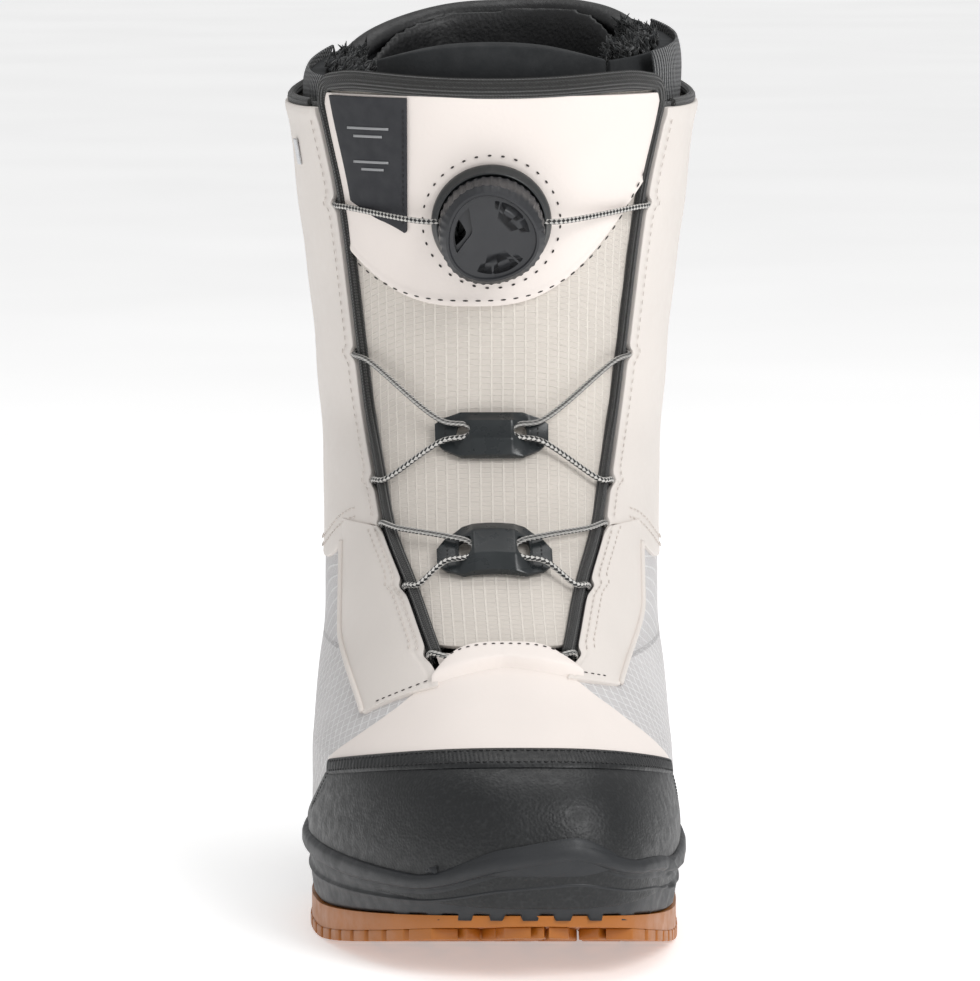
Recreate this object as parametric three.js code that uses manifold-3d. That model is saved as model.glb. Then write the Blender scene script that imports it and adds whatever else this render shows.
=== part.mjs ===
// Snowboard boot for the right foot, with a lace dial. Millimetres, +Z up, toe toward -Y, inner ankle side +X.
import * as THREE from 'three';
import { mergeVertices } from 'three/addons/utils/BufferGeometryUtils.js';
import Module from 'manifold-3d';

const wasm = await Module();
wasm.setup();

// ---- driving dimensions -------------------------------------------------------------------------------
const SOLE_LENGTH = 302;
const SOLE_WIDTH = 119;
const CUFF_TOP = 262;
const BACK_RISE = 20;
const GAP = 0.35;
const SHELL = 2.2;
const SKIN = 0.2;
const LINER_OUT = 9.6;
const LINER_FULL = 5.2;
const LINER_IN = 16;
const FOOT_LINER_OUT = 4.6;
const FOOT_LINER_IN = 10.4;
const OUTSOLE_TOP = 10.7;
const MIDSOLE_BOTTOM = 11.1;
const MIDSOLE_RIM = 39;
const MIDSOLE_FLOOR = 20;
const RIM_THICKNESS = 2.6;
const TOE_SPRING = 13;
const SPRING_START = -92;
const SHELL_BOTTOM = 22;
const CAP_TOP = 69.5;
const CAP_FALL = 11.5;
const CAP_ANGLE = 62;
const THROAT_BOTTOM = 93.5;
const QUARTER_SPLIT = 126;
const COUNTER_ANGLE = 104;
const BACKSTAY_ANGLE = 166;
const TONGUE_TOP = 268;
const TONGUE_GAP = 1.9;
const BINDING_RADIUS = 2.2;
const BINDING_SUNK = 1.6;
const LACE_RADIUS = 0.9;
const EDGE_GAP = LACE_RADIUS + 0.7;
const CHANNEL_CLEARANCE = 0.65;
const CHANNEL_WALL = 0.45;
const CHANNEL_BORE = LACE_RADIUS + CHANNEL_CLEARANCE;
const CHANNEL_RADIUS = CHANNEL_BORE + CHANNEL_WALL;
const CHANNEL_DEPTH = SHELL + 0.8 + CHANNEL_RADIUS;
const CHANNEL_TRIM = [0, 0, -0.35];
const DIAL_HEIGHT = 226;
const DIAL_LEAN = THREE.MathUtils.degToRad(14.6);
const KNOB_RADIUS = 16.9;
const KNOB_WALL = 1.2;
const KNOB_TOP = 17.6;
const CUP_RADIUS = KNOB_RADIUS - KNOB_WALL - 0.5;
const CUP_BORE = CUP_RADIUS - 2.4;
const DIAL_BASE_RADIUS = CUP_RADIUS + 4;
const SPOOL_RADIUS = CUP_BORE - 1.9;
const EXIT_RISE = 1.2;
const EXIT_HEIGHT = 4.1;
const UPPER_GUIDE = 156;
const LOWER_GUIDE = 122;
const GUIDE_HALF = 18;
const GUIDE_HEIGHT = 15.5;

const RAD = Math.PI / 180;
const boot = new THREE.Group();

// ---- the last: every piece is laid on this surface ----------------------------------------------------
// Each row is one level slice: height, front, back, half widths at toe, ball, waist and heel, toe shift.
const LEVELS = [
  [10, -149, 145, 55, 57, 47, 49, 15],
  [30, -151, 149, 57, 58, 48, 50, 15],
  [45, -150, 149.5, 56, 57.5, 49.5, 50, 14.5],
  [56, -146, 148.5, 53, 57, 51, 49, 13],
  [64, -137.5, 147.5, 50, 56, 52, 48, 11],
  [72, -122, 146.3, 47, 55.5, 53, 48, 8],
  [80, -106, 145, 46, 55, 54, 48, 5.5],
  [90, -88, 143, 46, 54, 54.5, 48, 3.6],
  [105, -67, 140.5, 47, 54, 55, 48, 2.2],
  [122, -45, 138, 48, 54, 55.3, 48.5, 1],
  [140, -23, 135, 50, 54.5, 55.8, 49, 0.5],
  [160, -8, 132, 50, 55.5, 56.7, 50, 0],
  [195, -10.5, 128, 51, 58.5, 59.7, 52, 0],
  [230, -19.5, 124, 54, 62.5, 63.1, 54, 0],
  [262, -28.5, 120, 58, 66.3, 66.4, 56, 0],
  [300, -38, 114, 60, 68.5, 68, 57, 0],
];

function smoothRow(rows, at) {
  let k = 0;
  while (k < rows.length - 2 && at > rows[k + 1][0]) k += 1;
  const a = rows[k];
  const b = rows[k + 1];
  const before = rows[Math.max(k - 1, 0)];
  const after = rows[Math.min(k + 2, rows.length - 1)];
  const h = b[0] - a[0];
  const t = THREE.MathUtils.clamp((at - a[0]) / h, 0, 1);
  const value = (i) => {
    const leftSlope = before === a ? (b[i] - a[i]) / h : (b[i] - before[i]) / (b[0] - before[0]);
    const rightSlope = after === b ? (b[i] - a[i]) / h : (after[i] - a[i]) / (after[0] - a[0]);
    const rise = t * t * (3 - 2 * t);
    const leaving = t * (1 - t) * (1 - t) * h * leftSlope;
    const arriving = -t * t * (1 - t) * h * rightSlope;
    return a[i] + (b[i] - a[i]) * rise + leaving + arriving;
  };
  return a.map((_, i) => (i === 0 ? at : value(i)));
}

// One point of the last. phi is 0 at the toe, 90 on the inner side and 180 at the heel.
function lastPoint(z, phi) {
  const [, front, back, toe, ball, waist, heel, shift] = smoothRow(LEVELS, z);
  const long = SOLE_LENGTH / 302;
  const wide = SOLE_WIDTH / 119;
  const c = Math.cos(phi * RAD);
  const s = Math.sin(phi * RAD);
  const along = (1 - c) / 2;
  const width = smoothRow([[0, toe], [0.33, ball], [0.66, waist], [1, heel]], along)[1];
  const lean = shift * Math.max(0, 1 - along / 0.45) ** 2;
  const x = wide * (Math.sign(s) * width * Math.abs(s) ** 0.72 + lean);
  const y = long * ((front + back) / 2 - ((back - front) / 2) * c);
  return new THREE.Vector3(x, y, z);
}

// A point at a distance off the last, outward when positive.
function onLast(z, phi, off = 0) {
  const here = lastPoint(z, phi);
  const across = lastPoint(z, phi + 1).sub(lastPoint(z, phi - 1));
  const up = lastPoint(z + 1.5, phi).sub(lastPoint(z - 1.5, phi));
  return here.addScaledVector(across.cross(up).normalize(), off);
}

function angleWhere(test, low, high) {
  let a = low;
  let b = high;
  for (let k = 0; k < 26; k += 1) {
    const middle = (a + b) / 2;
    if (test(middle)) b = middle;
    else a = middle;
  }
  return (a + b) / 2;
}

const angleAtX = (z, x) => angleWhere((phi) => lastPoint(z, phi).x > x, -85, 85);
const angleAtY = (z, y) => angleWhere((phi) => lastPoint(z, phi).y > y, 0, 180);
const atX = (x, z, off) => onLast(z, angleAtX(z, x), off);

// The throat: half width and centre of the gap between the quarters.
const THROAT = [
  [86, 20.5, 3.6], [91, 23.3, 3.4], [110, 29.8, 1.6], [126, 36.3, 0.6], [139, 39, 0.3],
  [160, 42.8, 0], [179, 45.2, 0], [232, 51.6, 0], [262, 57.6, 0], [290, 62, 0],
];
const throatHalf = (z) => smoothRow(THROAT, z)[1] * (SOLE_WIDTH / 119);
const throatCentre = (z) => smoothRow(THROAT, z)[2] * (SOLE_WIDTH / 119);
const throatX = (z, side, inset = 0) => throatCentre(z) + side * (throatHalf(z) - inset);
const throatAngle = (z, side, inset = 0) => angleAtX(z, throatX(z, side, inset));

// ---- geometry helpers ---------------------------------------------------------------------------------
function weld(source) {
  const bare = source.clone();
  bare.deleteAttribute('normal');
  bare.deleteAttribute('uv');
  const merged = mergeVertices(bare, 1e-3);
  const position = merged.getAttribute('position');
  const corner = (i) => new THREE.Vector3().fromBufferAttribute(position, i);
  const kept = [];
  let volume = 0;
  for (let k = 0; k < merged.index.count; k += 3) {
    const [a, b, c] = [0, 1, 2].map((i) => merged.index.getX(k + i));
    if (a !== b && b !== c && c !== a) {
      kept.push(a, b, c);
      volume += corner(a).dot(corner(b).cross(corner(c)));
    }
  }
  merged.setIndex(volume < 0 ? kept.reverse() : kept);
  merged.computeVertexNormals();
  return merged;
}

function warp(source, place) {
  const position = source.getAttribute('position');
  for (let i = 0; i < position.count; i += 1) {
    const p = place(new THREE.Vector3().fromBufferAttribute(position, i));
    position.setXYZ(i, p.x, p.y, p.z);
  }
  return weld(source);
}

// A closed sheet: u runs across, v up and w through its thickness, each from 0 to 1.
function sheet(columns, rows, place) {
  const box = new THREE.BoxGeometry(1, 1, 1, columns, rows, 1);
  return warp(box, (p) => place(p.x + 0.5, p.y + 0.5, p.z + 0.5));
}

// A closed solid turned round the boot: each stop of the profile has its own height and distance off.
function ring(profile, segments, place) {
  const outline = profile.map((stop, i) => new THREE.Vector2(stop.axis ? 0 : 1, i));
  const turned = new THREE.LatheGeometry(outline, segments);
  return warp(turned, (p) => {
    const i = Math.round(p.y) % profile.length;
    return place(profile[i], Math.atan2(p.x, p.z) / RAD);
  });
}

function tube(points, radius, steps, sides = 6, bore = 0) {
  const outline = new THREE.Shape();
  outline.absarc(0, 0, radius, 0, Math.PI * 2);
  if (bore > 0) {
    const hole = new THREE.Path();
    hole.absarc(0, 0, bore, 0, Math.PI * 2, true);
    outline.holes.push(hole);
  }
  const path = new THREE.CatmullRomCurve3(points, false, 'centripetal');
  path.getUtoTmapping = (u) => u; // the same number of steps between each pair of stops
  const options = { steps, extrudePath: path, curveSegments: sides, bevelEnabled: false };
  return weld(new THREE.ExtrudeGeometry(outline, options));
}

function solid(geometry) {
  const vertProperties = new Float32Array(geometry.getAttribute('position').array);
  const triVerts = new Uint32Array(geometry.index.array);
  return new wasm.Manifold(new wasm.Mesh({ numProp: 3, vertProperties, triVerts }));
}

function fromSolid(body) {
  const mesh = body.getMesh();
  const geometry = new THREE.BufferGeometry();
  geometry.setAttribute('position', new THREE.BufferAttribute(new Float32Array(mesh.vertProperties), 3));
  geometry.setIndex(new THREE.BufferAttribute(new Uint32Array(mesh.triVerts), 1));
  return weld(geometry);
}

const cut = (geometry, ...tools) => fromSolid(tools.reduce((rest, t) => rest.subtract(solid(t)), solid(geometry)));

function add(name, geometry, color, roughness = 0.7, metalness = 0, group = boot) {
  const material = new THREE.MeshStandardMaterial({ color, roughness, metalness });
  const mesh = new THREE.Mesh(geometry, material);
  mesh.name = name;
  group.add(mesh);
  return mesh;
}

const mix = THREE.MathUtils.lerp;
const SIDES = [['lateral', -1], ['medial', 1]];
const PALE = 0xe6dfd7;
const GREY = 0xcbc6c4;
const DARK = 0x2b2e31;
const FOAM = 0x36383c;
const GUM = 0x935c1e;

// ---- sole ---------------------------------------------------------------------------------------------
// Height of the ground side: flat, then sprung up toward the toe.
function springAt(y) {
  const start = SPRING_START * (SOLE_LENGTH / 302);
  const t = THREE.MathUtils.clamp((start - y) / (SOLE_LENGTH / 2 + start), 0, 1);
  return TOE_SPRING * t * t;
}

function outsole(fromY, toY, rows) {
  const level = 18;
  const long = SOLE_LENGTH / 302;
  return sheet(8, rows, (u, v, w) => {
    const y = long * mix(fromY, toY, 1 - Math.cos((v * Math.PI) / 2));
    const inner = lastPoint(level, angleAtY(level, y)).x;
    const outer = lastPoint(level, -angleAtY(level, y)).x;
    const lift = springAt(y);
    const x = mix(outer, inner, u) * 1.02;
    return new THREE.Vector3(x, y, mix(Math.min(lift, 9.5), OUTSOLE_TOP, 1 - w));
  });
}

function midsole() {
  const lip = RIM_THICKNESS;
  const profile = [
    { axis: true, z: MIDSOLE_BOTTOM, off: 0, spring: 0 },
    { z: MIDSOLE_BOTTOM, off: 0.6, spring: 0.45 },
    { z: 19, off: 1.9, spring: 0.25 },
    { z: 30, off: lip, spring: 0.1 },
    { z: MIDSOLE_RIM, off: 1.9, spring: 0 },
    { z: MIDSOLE_RIM, off: 0.8, spring: 0 },
    { z: MIDSOLE_FLOOR, off: 0.8, spring: 0 },
    { axis: true, z: MIDSOLE_FLOOR, off: 0, spring: 0 },
  ];
  return ring(profile, 48, (stop, phi) => {
    if (stop.axis) return new THREE.Vector3(0, 0, stop.z);
    const p = onLast(Math.max(stop.z, 14), phi, 0);
    const q = onLast(Math.max(stop.z, 14), phi, stop.off);
    return new THREE.Vector3(q.x, q.y, stop.z + stop.spring * springAt(p.y));
  });
}

function levelPlate(low, high, inset, segments) {
  const profile = [{ axis: true, z: low }, { z: low }, { z: high }, { axis: true, z: high }];
  return ring(profile, segments, (stop, phi) => {
    const p = onLast(30, phi, -inset);
    const r = stop.axis ? 0 : 1;
    return new THREE.Vector3(p.x * r, p.y * r, stop.z);
  });
}

function shank() {
  return sheet(2, 8, (u, v, w) => {
    const y = mix(-40, 95, v) * (SOLE_LENGTH / 302);
    const half = mix(16, 20, Math.abs(v - 0.5) * 2);
    return new THREE.Vector3(mix(-half, half, u), y, mix(MIDSOLE_FLOOR + GAP, MIDSOLE_FLOOR + 1.6, 1 - w));
  });
}

function toeBumper() {
  return sheet(12, 3, (u, v, w) => {
    const phi = mix(-24, 30, u);
    const arch = 1 - (2 * u - 1) ** 2;
    const z = mix(33, MIDSOLE_RIM + 2 + 3.5 * arch, v);
    return onLast(z, phi, w === 0 ? 3 : 3.2 + 1.4 * Math.sqrt(arch));
  });
}

add('outsole_forefoot', outsole(-149.5, 18, 14), GUM, 0.75);
add('outsole_heel', outsole(148, 36, 8), GUM, 0.75);
add('midsole', midsole(), FOAM, 0.85);
add('toe_bumper', toeBumper(), DARK, 0.6);
add('shank', shank(), 0x8a8a86, 0.5);
add('lasting_board', levelPlate(22.2, 24, SHELL + 2.6, 36), 0xb9a27c, 0.9);

// ---- shell panels -------------------------------------------------------------------------------------
const capTop = (phi) => CAP_TOP - CAP_FALL * (phi / CAP_ANGLE) ** 2;

function toeCap() {
  return sheet(18, 5, (u, v, w) => {
    const phi = mix(-CAP_ANGLE, CAP_ANGLE, u);
    const z = mix(SHELL_BOTTOM, capTop(phi) - GAP, 1 - (1 - v) ** 1.3);
    return onLast(z, phi, mix(-SHELL, -SKIN, w));
  });
}

// The seam between the vamp and a side panel, as an angle on the last.
const SEAM_TOP = 88.2;
const CAP_CORNER = capTop(CAP_ANGLE);

function seamAngle(z, side) {
  const top = throatAngle(SEAM_TOP, side, 3);
  const t = THREE.MathUtils.clamp((z - CAP_CORNER) / (SEAM_TOP - CAP_CORNER), 0, 1);
  return z > SEAM_TOP ? throatAngle(z, side, 3) : mix(side * CAP_ANGLE, top, t ** 1.15);
}

function vamp() {
  return sheet(14, 6, (u, v, w) => {
    const across = (z) => mix(seamAngle(z, -1), seamAngle(z, 1), u);
    let low = CAP_CORNER;
    for (let k = 0; k < 8; k += 1) low = capTop(across(low)) + GAP;
    const z = mix(low, THROAT_BOTTOM, v);
    return onLast(z, across(z), mix(-SHELL, -SKIN, w));
  });
}

function sidePanel(side) {
  return sheet(8, 7, (u, v, w) => {
    const z = mix(SHELL_BOTTOM, SEAM_TOP, v);
    return onLast(z, mix(seamAngle(z, side) + side * 1.7, side * COUNTER_ANGLE, u), mix(-SHELL, -SKIN, w));
  });
}

function lowerQuarter(side) {
  return sheet(10, 6, (u, v, w) => {
    const z = mix(88.6, QUARTER_SPLIT, v);
    const start = throatAngle(z, side, -EDGE_GAP);
    return onLast(z, mix(start, side * COUNTER_ANGLE, u), mix(-SHELL, -SKIN, w));
  });
}

const cuffTop = (phi) => CUFF_TOP + BACK_RISE * Math.sin((Math.min(Math.abs(phi), 180) / 2) * RAD) ** 3;

function upperQuarter(side) {
  return sheet(11, 10, (u, v, w) => {
    const reach = mix(45, BACKSTAY_ANGLE - 0.4, u);
    const z = mix(QUARTER_SPLIT + GAP, cuffTop(reach), v);
    const start = throatAngle(z, side, -EDGE_GAP);
    return onLast(z, mix(start, side * (BACKSTAY_ANGLE - 0.4), u), mix(-SHELL, -SKIN, w));
  });
}

function heelCounter() {
  return sheet(24, 5, (u, v, w) => {
    const phi = mix(COUNTER_ANGLE + 0.5, 360 - COUNTER_ANGLE - 0.5, u);
    const z = mix(SHELL_BOTTOM, QUARTER_SPLIT, v);
    return onLast(z, phi, mix(-SHELL, -SKIN, w));
  });
}

function backstay() {
  return sheet(4, 10, (u, v, w) => {
    const phi = mix(BACKSTAY_ANGLE, 360 - BACKSTAY_ANGLE, u);
    return onLast(mix(QUARTER_SPLIT + GAP, cuffTop(180), v), phi, mix(-SHELL, -SKIN, w));
  });
}

function heelStiffener() {
  return sheet(20, 4, (u, v, w) => {
    const phi = mix(120, 240, u);
    const z = mix(31, 86 + 8 * Math.sin(u * Math.PI), v);
    return onLast(z, phi, mix(-SHELL - 1.95, -SHELL - 1.3, w));
  });
}

function cuffBinding() {
  const points = [];
  const start = throatAngle(CUFF_TOP, 1, -EDGE_GAP);
  for (let k = 0; k <= 24; k += 1) {
    const phi = mix(start, 360 - start, k / 24);
    const folded = phi > 180 ? 360 - phi : phi;
    points.push(onLast(cuffTop(folded) + 2.1, phi, -1.3));
  }
  return tube(points, 1.6, 40, 3);
}

// Trim laid along the throat edge of a quarter.
function facing(side) {
  return sheet(2, 18, (u, v, w) => {
    const z = mix(THROAT_BOTTOM + 4, CUFF_TOP - 2, v);
    const phi = throatAngle(z, side, mix(-EDGE_GAP - 0.3, -7, u));
    return onLast(z, phi, mix(0.75, 1.5, w));
  });
}

function throatTab() {
  return sheet(8, 3, (u, v, w) => {
    const z = mix(83, THROAT_BOTTOM - 0.5, v);
    return atX(throatCentre(z) + mix(-15, 15, u), z, mix(3.1, 4.2, w));
  });
}

function pullLoop() {
  return sheet(2, 12, (u, v, w) => {
    const bow = 9.5 * Math.sin(v * Math.PI) ** 1.2;
    const p = onLast(mix(238, cuffTop(180) - 3, v), 180, 0.5 + bow + w * 1.4);
    return new THREE.Vector3(mix(-7, 7, 1 - u), p.y, p.z);
  });
}

function sideBadge() {
  return sheet(2, 3, (u, v, w) => onLast(mix(240, 250, v), mix(-77, -72, u), mix(0.2, 1.1, w)));
}

add('toe_cap', toeCap(), DARK, 0.5);
add('vamp', vamp(), PALE, 0.55);
for (const [word, side] of SIDES) {
  add(`side_panel_${word}`, sidePanel(side), GREY, 0.8);
  add(`lower_quarter_${word}`, lowerQuarter(side), PALE, 0.55);
  add(`upper_quarter_${word}`, upperQuarter(side), PALE, 0.6);
  add(`throat_facing_${word}`, facing(side), DARK, 0.8);
}
add('heel_counter', heelCounter(), DARK, 0.5);
add('heel_stiffener', heelStiffener(), 0xd0cdc4, 0.6);
add('backstay', backstay(), DARK, 0.6);
add('cuff_binding', cuffBinding(), DARK, 0.9);
add('throat_tab', throatTab(), PALE, 0.55);
add('pull_loop_rear', pullLoop(), DARK, 0.9);
add('side_badge', sideBadge(), 0xd9dadb, 0.35, 0.6);

// ---- lace route ---------------------------------------------------------------------------------------
// A channel under a quarter takes the lace in at one height and gives it back lower down.
const CHANNELS = [[229.2, 179.3], [139.4, 126.8], [109.8, 91.6]];
const OVER = 2.9;
const GUIDE_RISE = 4.2;
const GUIDE_TURN = 2.1;

const stop = (side, x, z, off) => atX(throatCentre(z) + side * x, z, off);

function channelStops(index, side) {
  const [high, low] = CHANNELS[index];
  const reach = Math.min(9.5, 3 + (high - low) / 5);
  const inset = Math.min(6, (high - low) / 4);
  const edge = (z) => throatHalf(z);
  return [
    stop(side, edge(high) + 3.4, high - 0.4, -CHANNEL_DEPTH),
    stop(side, edge(high - inset) + reach, high - inset, -CHANNEL_DEPTH),
    stop(side, edge(low + inset) + reach, low + inset, -CHANNEL_DEPTH),
    stop(side, edge(low) + 3.4, low + 0.4, -CHANNEL_DEPTH),
  ];
}

function throughChannel(index, side) {
  const [high, low] = CHANNELS[index];
  const drop = [[-6, OVER], [-2.2, 2.2], [0.1, -0.8], [0.9, -3.8]];
  const laid = (z) => drop.map(([x, off]) => ({ name: '', point: stop(side, throatHalf(z) + x, z, off) }));
  const held = channelStops(index, side).map((point) => ({ name: `channel${index}`, point }));
  return [...laid(high), ...held, ...laid(low).reverse().slice(0, 3)];
}

function roundGuide(height, side) {
  const rows = [[15, 1.7], [8, 1], [5.9, 0], [8, -1], [15, -1.7]];
  return rows.map(([x, turn]) => stop(side, x, height + turn * GUIDE_TURN, GUIDE_RISE));
}

const dialSeat = atX(0, DIAL_HEIGHT, 2.4);
const atDial = (x, y, h) => {
  const turned = new THREE.Vector3(x, y, h).applyAxisAngle(new THREE.Vector3(1, 0, 0), Math.PI / 2 + DIAL_LEAN);
  return turned.add(dialSeat);
};

// The stops of one side, in order, with the ones that a channel or a guide holds marked by name.
function laceRun(side) {
  const held = (name, stops) => stops.map((point) => ({ name, point }));
  const free = (...stops) => held('', stops);
  const leave = [CUP_RADIUS - 0.6, DIAL_BASE_RADIUS + 2.8];
  return [
    ...free(...leave.map((r) => atDial(side * r, EXIT_RISE, EXIT_HEIGHT))),
    ...throughChannel(0, side),
    ...free(stop(side, throatHalf(178.5) - 7, 178.2, OVER)),
    ...held('upper', roundGuide(UPPER_GUIDE, side)),
    ...throughChannel(1, side),
    ...free(stop(side, throatHalf(125.6) - 7, 125.4, OVER)),
    ...held('lower', roundGuide(LOWER_GUIDE, side)),
    ...throughChannel(2, side),
    ...free(stop(side, 14, 90.6, 1.7)),
  ];
}

const laceStops = [...laceRun(-1), ...laceRun(1).reverse()];
const LACE_STEPS = 2 * (laceStops.length - 1);
const laceCurve = new THREE.CatmullRomCurve3(laceStops.map((s) => s.point), false, 'centripetal');

// The stretch of the lace that a named holder keeps, with some more at each end.
function heldStretch(name, side, count, more = 0) {
  const half = laceStops.length / 2;
  const mine = laceStops.map((s, i) => (s.name === name && i < half === side < 0 ? i : -1)).filter((i) => i >= 0);
  const at = (k) => mix(mine[0] - more, mine[mine.length - 1] + more, k / count) / (laceStops.length - 1);
  return Array.from({ length: count + 1 }, (_, k) => laceCurve.getPoint(at(k)));
}

function channel(index, side) {
  return tube(heldStretch(`channel${index}`, side, 6, CHANNEL_TRIM[index]), CHANNEL_RADIUS, 6, 3, CHANNEL_BORE);
}

add('lace', tube(laceStops.map((s) => s.point), LACE_RADIUS, LACE_STEPS, 3), 0x1d1d1f, 0.8);
for (const [word, side] of SIDES) {
  CHANNELS.forEach((_, i) => add(`lace_channel_${word}_${i + 1}`, channel(i, side), 0x4a4d50, 0.4));
}

// ---- tongue -------------------------------------------------------------------------------------------
const BINDING_INSET = TONGUE_GAP + BINDING_RADIUS;
const tongueTopAt = (x) => TONGUE_TOP - 4 * (1 - (x / 50) ** 2);

function tongueBody() {
  return sheet(10, 13, (u, v, w) => {
    const side = 2 * u - 1;
    const inset = BINDING_INSET + BINDING_RADIUS + 0.7;
    const end = tongueTopAt(side * 50) - BINDING_RADIUS * 2 - 1.4 - 3.2 * side ** 4;
    const z = mix(THROAT_BOTTOM + 1.6, end, v);
    const x = throatCentre(z) + side * (throatHalf(z) - inset);
    return atX(x, z, mix(-SHELL, -SKIN, w));
  });
}

function tongueBinding() {
  const points = [];
  const edge = (z, side) => atX(throatX(z, side, BINDING_INSET), z, -BINDING_SUNK);
  const low = THROAT_BOTTOM + 5;
  const high = TONGUE_TOP - 9;
  for (let k = 0; k <= 10; k += 1) points.push(edge(mix(low, high, k / 10), -1));
  for (let k = 1; k < 8; k += 1) {
    const x = mix(-1, 1, k / 8) * (throatHalf(TONGUE_TOP) - BINDING_INSET - 1);
    points.push(atX(x, tongueTopAt(x) - BINDING_RADIUS, -BINDING_SUNK));
  }
  for (let k = 10; k >= 0; k -= 1) points.push(edge(mix(low, high, k / 10), 1));
  return tube(points, BINDING_RADIUS, 50, 3);
}

function tonguePlate() {
  return sheet(8, 6, (u, v, w) => {
    const side = 2 * u - 1;
    const z = mix(200 - 7 * (1 - side * side), 257, v);
    const x = side * (throatHalf(z) - BINDING_INSET - BINDING_RADIUS - 1.5);
    return atX(x, z, mix(0.5, 1.3, w));
  });
}

function infoLabel() {
  return sheet(5, 5, (u, v, w) => atX(mix(-45.5, -27, u), mix(232, 254.5, v), mix(1.8, 2.4, w)));
}

// An arched lace guide: a plate with a groove cut round for each side of the lace.
function guide(height) {
  const body = sheet(8, 2, (u, v, w) => {
    const side = 2 * u - 1;
    const half = (GUIDE_HEIGHT / 2) * (1 - 0.18 * side * side);
    const z = height + (2 * v - 1) * half;
    const top = 5.9 - 1.6 * side * side;
    return atX(throatCentre(z) + side * GUIDE_HALF, z, mix(0.6, top, w));
  });
  const name = height === UPPER_GUIDE ? 'upper' : 'lower';
  const bores = SIDES.map(([, side]) => tube(heldStretch(name, side, 12, 0.6), LACE_RADIUS + 0.6, 12, 3));
  return cut(body, ...bores);
}

add('tongue_body', tongueBody(), GREY, 0.8);
add('tongue_binding', tongueBinding(), DARK, 0.9);
add('tongue_plate', tonguePlate(), PALE, 0.55);
add('info_label', infoLabel(), 0x2a2b2f, 0.7);
add('upper_lace_guide', guide(UPPER_GUIDE), 0x2c3233, 0.35);
add('lower_lace_guide', guide(LOWER_GUIDE), 0x2c3233, 0.35);

// ---- dial, built along its own axis and then leaned onto the tongue -----------------------------------
const dial = new THREE.Group();
dial.position.copy(dialSeat);
dial.rotation.x = Math.PI / 2 + DIAL_LEAN;
boot.add(dial);

// A round piece from stops of radius and height, turned round the dial's axis.
function round(stops, segments = 36) {
  const points = stops.map(([r, h]) => new THREE.Vector2(r, h));
  const turned = new THREE.LatheGeometry(points, segments);
  turned.rotateX(Math.PI / 2);
  return weld(turned);
}

function dialBase() {
  const foot = CUP_RADIUS + 1;
  return round([
    [0, 0.3], [DIAL_BASE_RADIUS, 0.3], [DIAL_BASE_RADIUS, 2.1], [DIAL_BASE_RADIUS - 1.6, 2.9], [foot, 2.9],
    [foot, 2.2], [0, 2.2],
  ]);
}

// The cup that holds the works, with a slot on each side for the lace.
function dialHousing() {
  const cup = round([[CUP_BORE, 2.55], [CUP_RADIUS, 2.55], [CUP_RADIUS, 9], [CUP_BORE, 9], [CUP_BORE, 2.55]]);
  const room = 2 * LACE_RADIUS + 1.7;
  const exits = SIDES.map(([, side]) => {
    const slot = new THREE.BoxGeometry(9, room, room);
    slot.translate(side * (CUP_RADIUS + 0.3), EXIT_RISE, EXIT_HEIGHT);
    return weld(slot);
  });
  return cut(cup, ...exits);
}

function toothedRing() {
  const teeth = 24;
  const outer = CUP_BORE - 0.4;
  const outline = new THREE.Shape();
  outline.absarc(0, 0, outer, 0, Math.PI * 2);
  const inner = new THREE.Path();
  for (let k = 0; k < teeth; k += 1) {
    const a = (-k * Math.PI * 2) / teeth;
    inner[k === 0 ? 'moveTo' : 'lineTo']((outer - 0.7) * Math.cos(a), (outer - 0.7) * Math.sin(a));
    const b = a - (Math.PI * 1.5) / teeth;
    inner.lineTo((outer - 1.7) * Math.cos(b), (outer - 1.7) * Math.sin(b));
  }
  outline.holes.push(inner);
  const ringGeometry = new THREE.ExtrudeGeometry(outline, { depth: 2, bevelEnabled: false, curveSegments: 16 });
  return weld(ringGeometry.translate(0, 0, 6.8));
}

function driveDisc() {
  const outline = new THREE.Shape();
  const arms = 3;
  for (let k = 0; k < arms; k += 1) {
    const a = (k * Math.PI * 2) / arms;
    const polar = (r, turn) => [r * Math.cos(a + turn), r * Math.sin(a + turn)];
    if (k === 0) outline.moveTo(...polar(6.6, 0));
    else outline.lineTo(...polar(6.6, 0));
    outline.lineTo(...polar(6.6, 0.55));
    outline.lineTo(...polar(SPOOL_RADIUS - 1, 1.25));
    outline.lineTo(...polar(SPOOL_RADIUS - 2.2, 1.35));
    outline.lineTo(...polar(6.6, 1.05));
    outline.lineTo(...polar(6.6, 1.6));
  }
  const bore = new THREE.Path();
  bore.absarc(0, 0, 2.2, 0, Math.PI * 2, true);
  outline.holes.push(bore);
  const disc = new THREE.ExtrudeGeometry(outline, { depth: 1.9, bevelEnabled: false, curveSegments: 10 });
  return weld(disc.translate(0, 0, 6.9));
}

function springCoil() {
  const points = [];
  for (let k = 0; k <= 24; k += 1) {
    const a = (k / 24) * Math.PI * 4;
    points.push(new THREE.Vector3(4.6 * Math.cos(a), 4.6 * Math.sin(a), 9.7 + (k / 24) * 3.4));
  }
  return tube(points, 0.4, 36, 2);
}

// One of three curved windows through the knob's face.
function knobWindow(turn) {
  const outline = new THREE.Shape();
  outline.absarc(0, 0, KNOB_RADIUS - 6.3, turn, turn + 1.35);
  outline.quadraticCurveTo(7 * Math.cos(turn + 1.1), 7 * Math.sin(turn + 1.1), 5.6 * Math.cos(turn), 5.6 * Math.sin(turn));
  const tool = new THREE.ExtrudeGeometry(outline, { depth: 8, bevelEnabled: false, curveSegments: 6 });
  return weld(tool.translate(0, 0, KNOB_TOP - 5.6));
}

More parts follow.
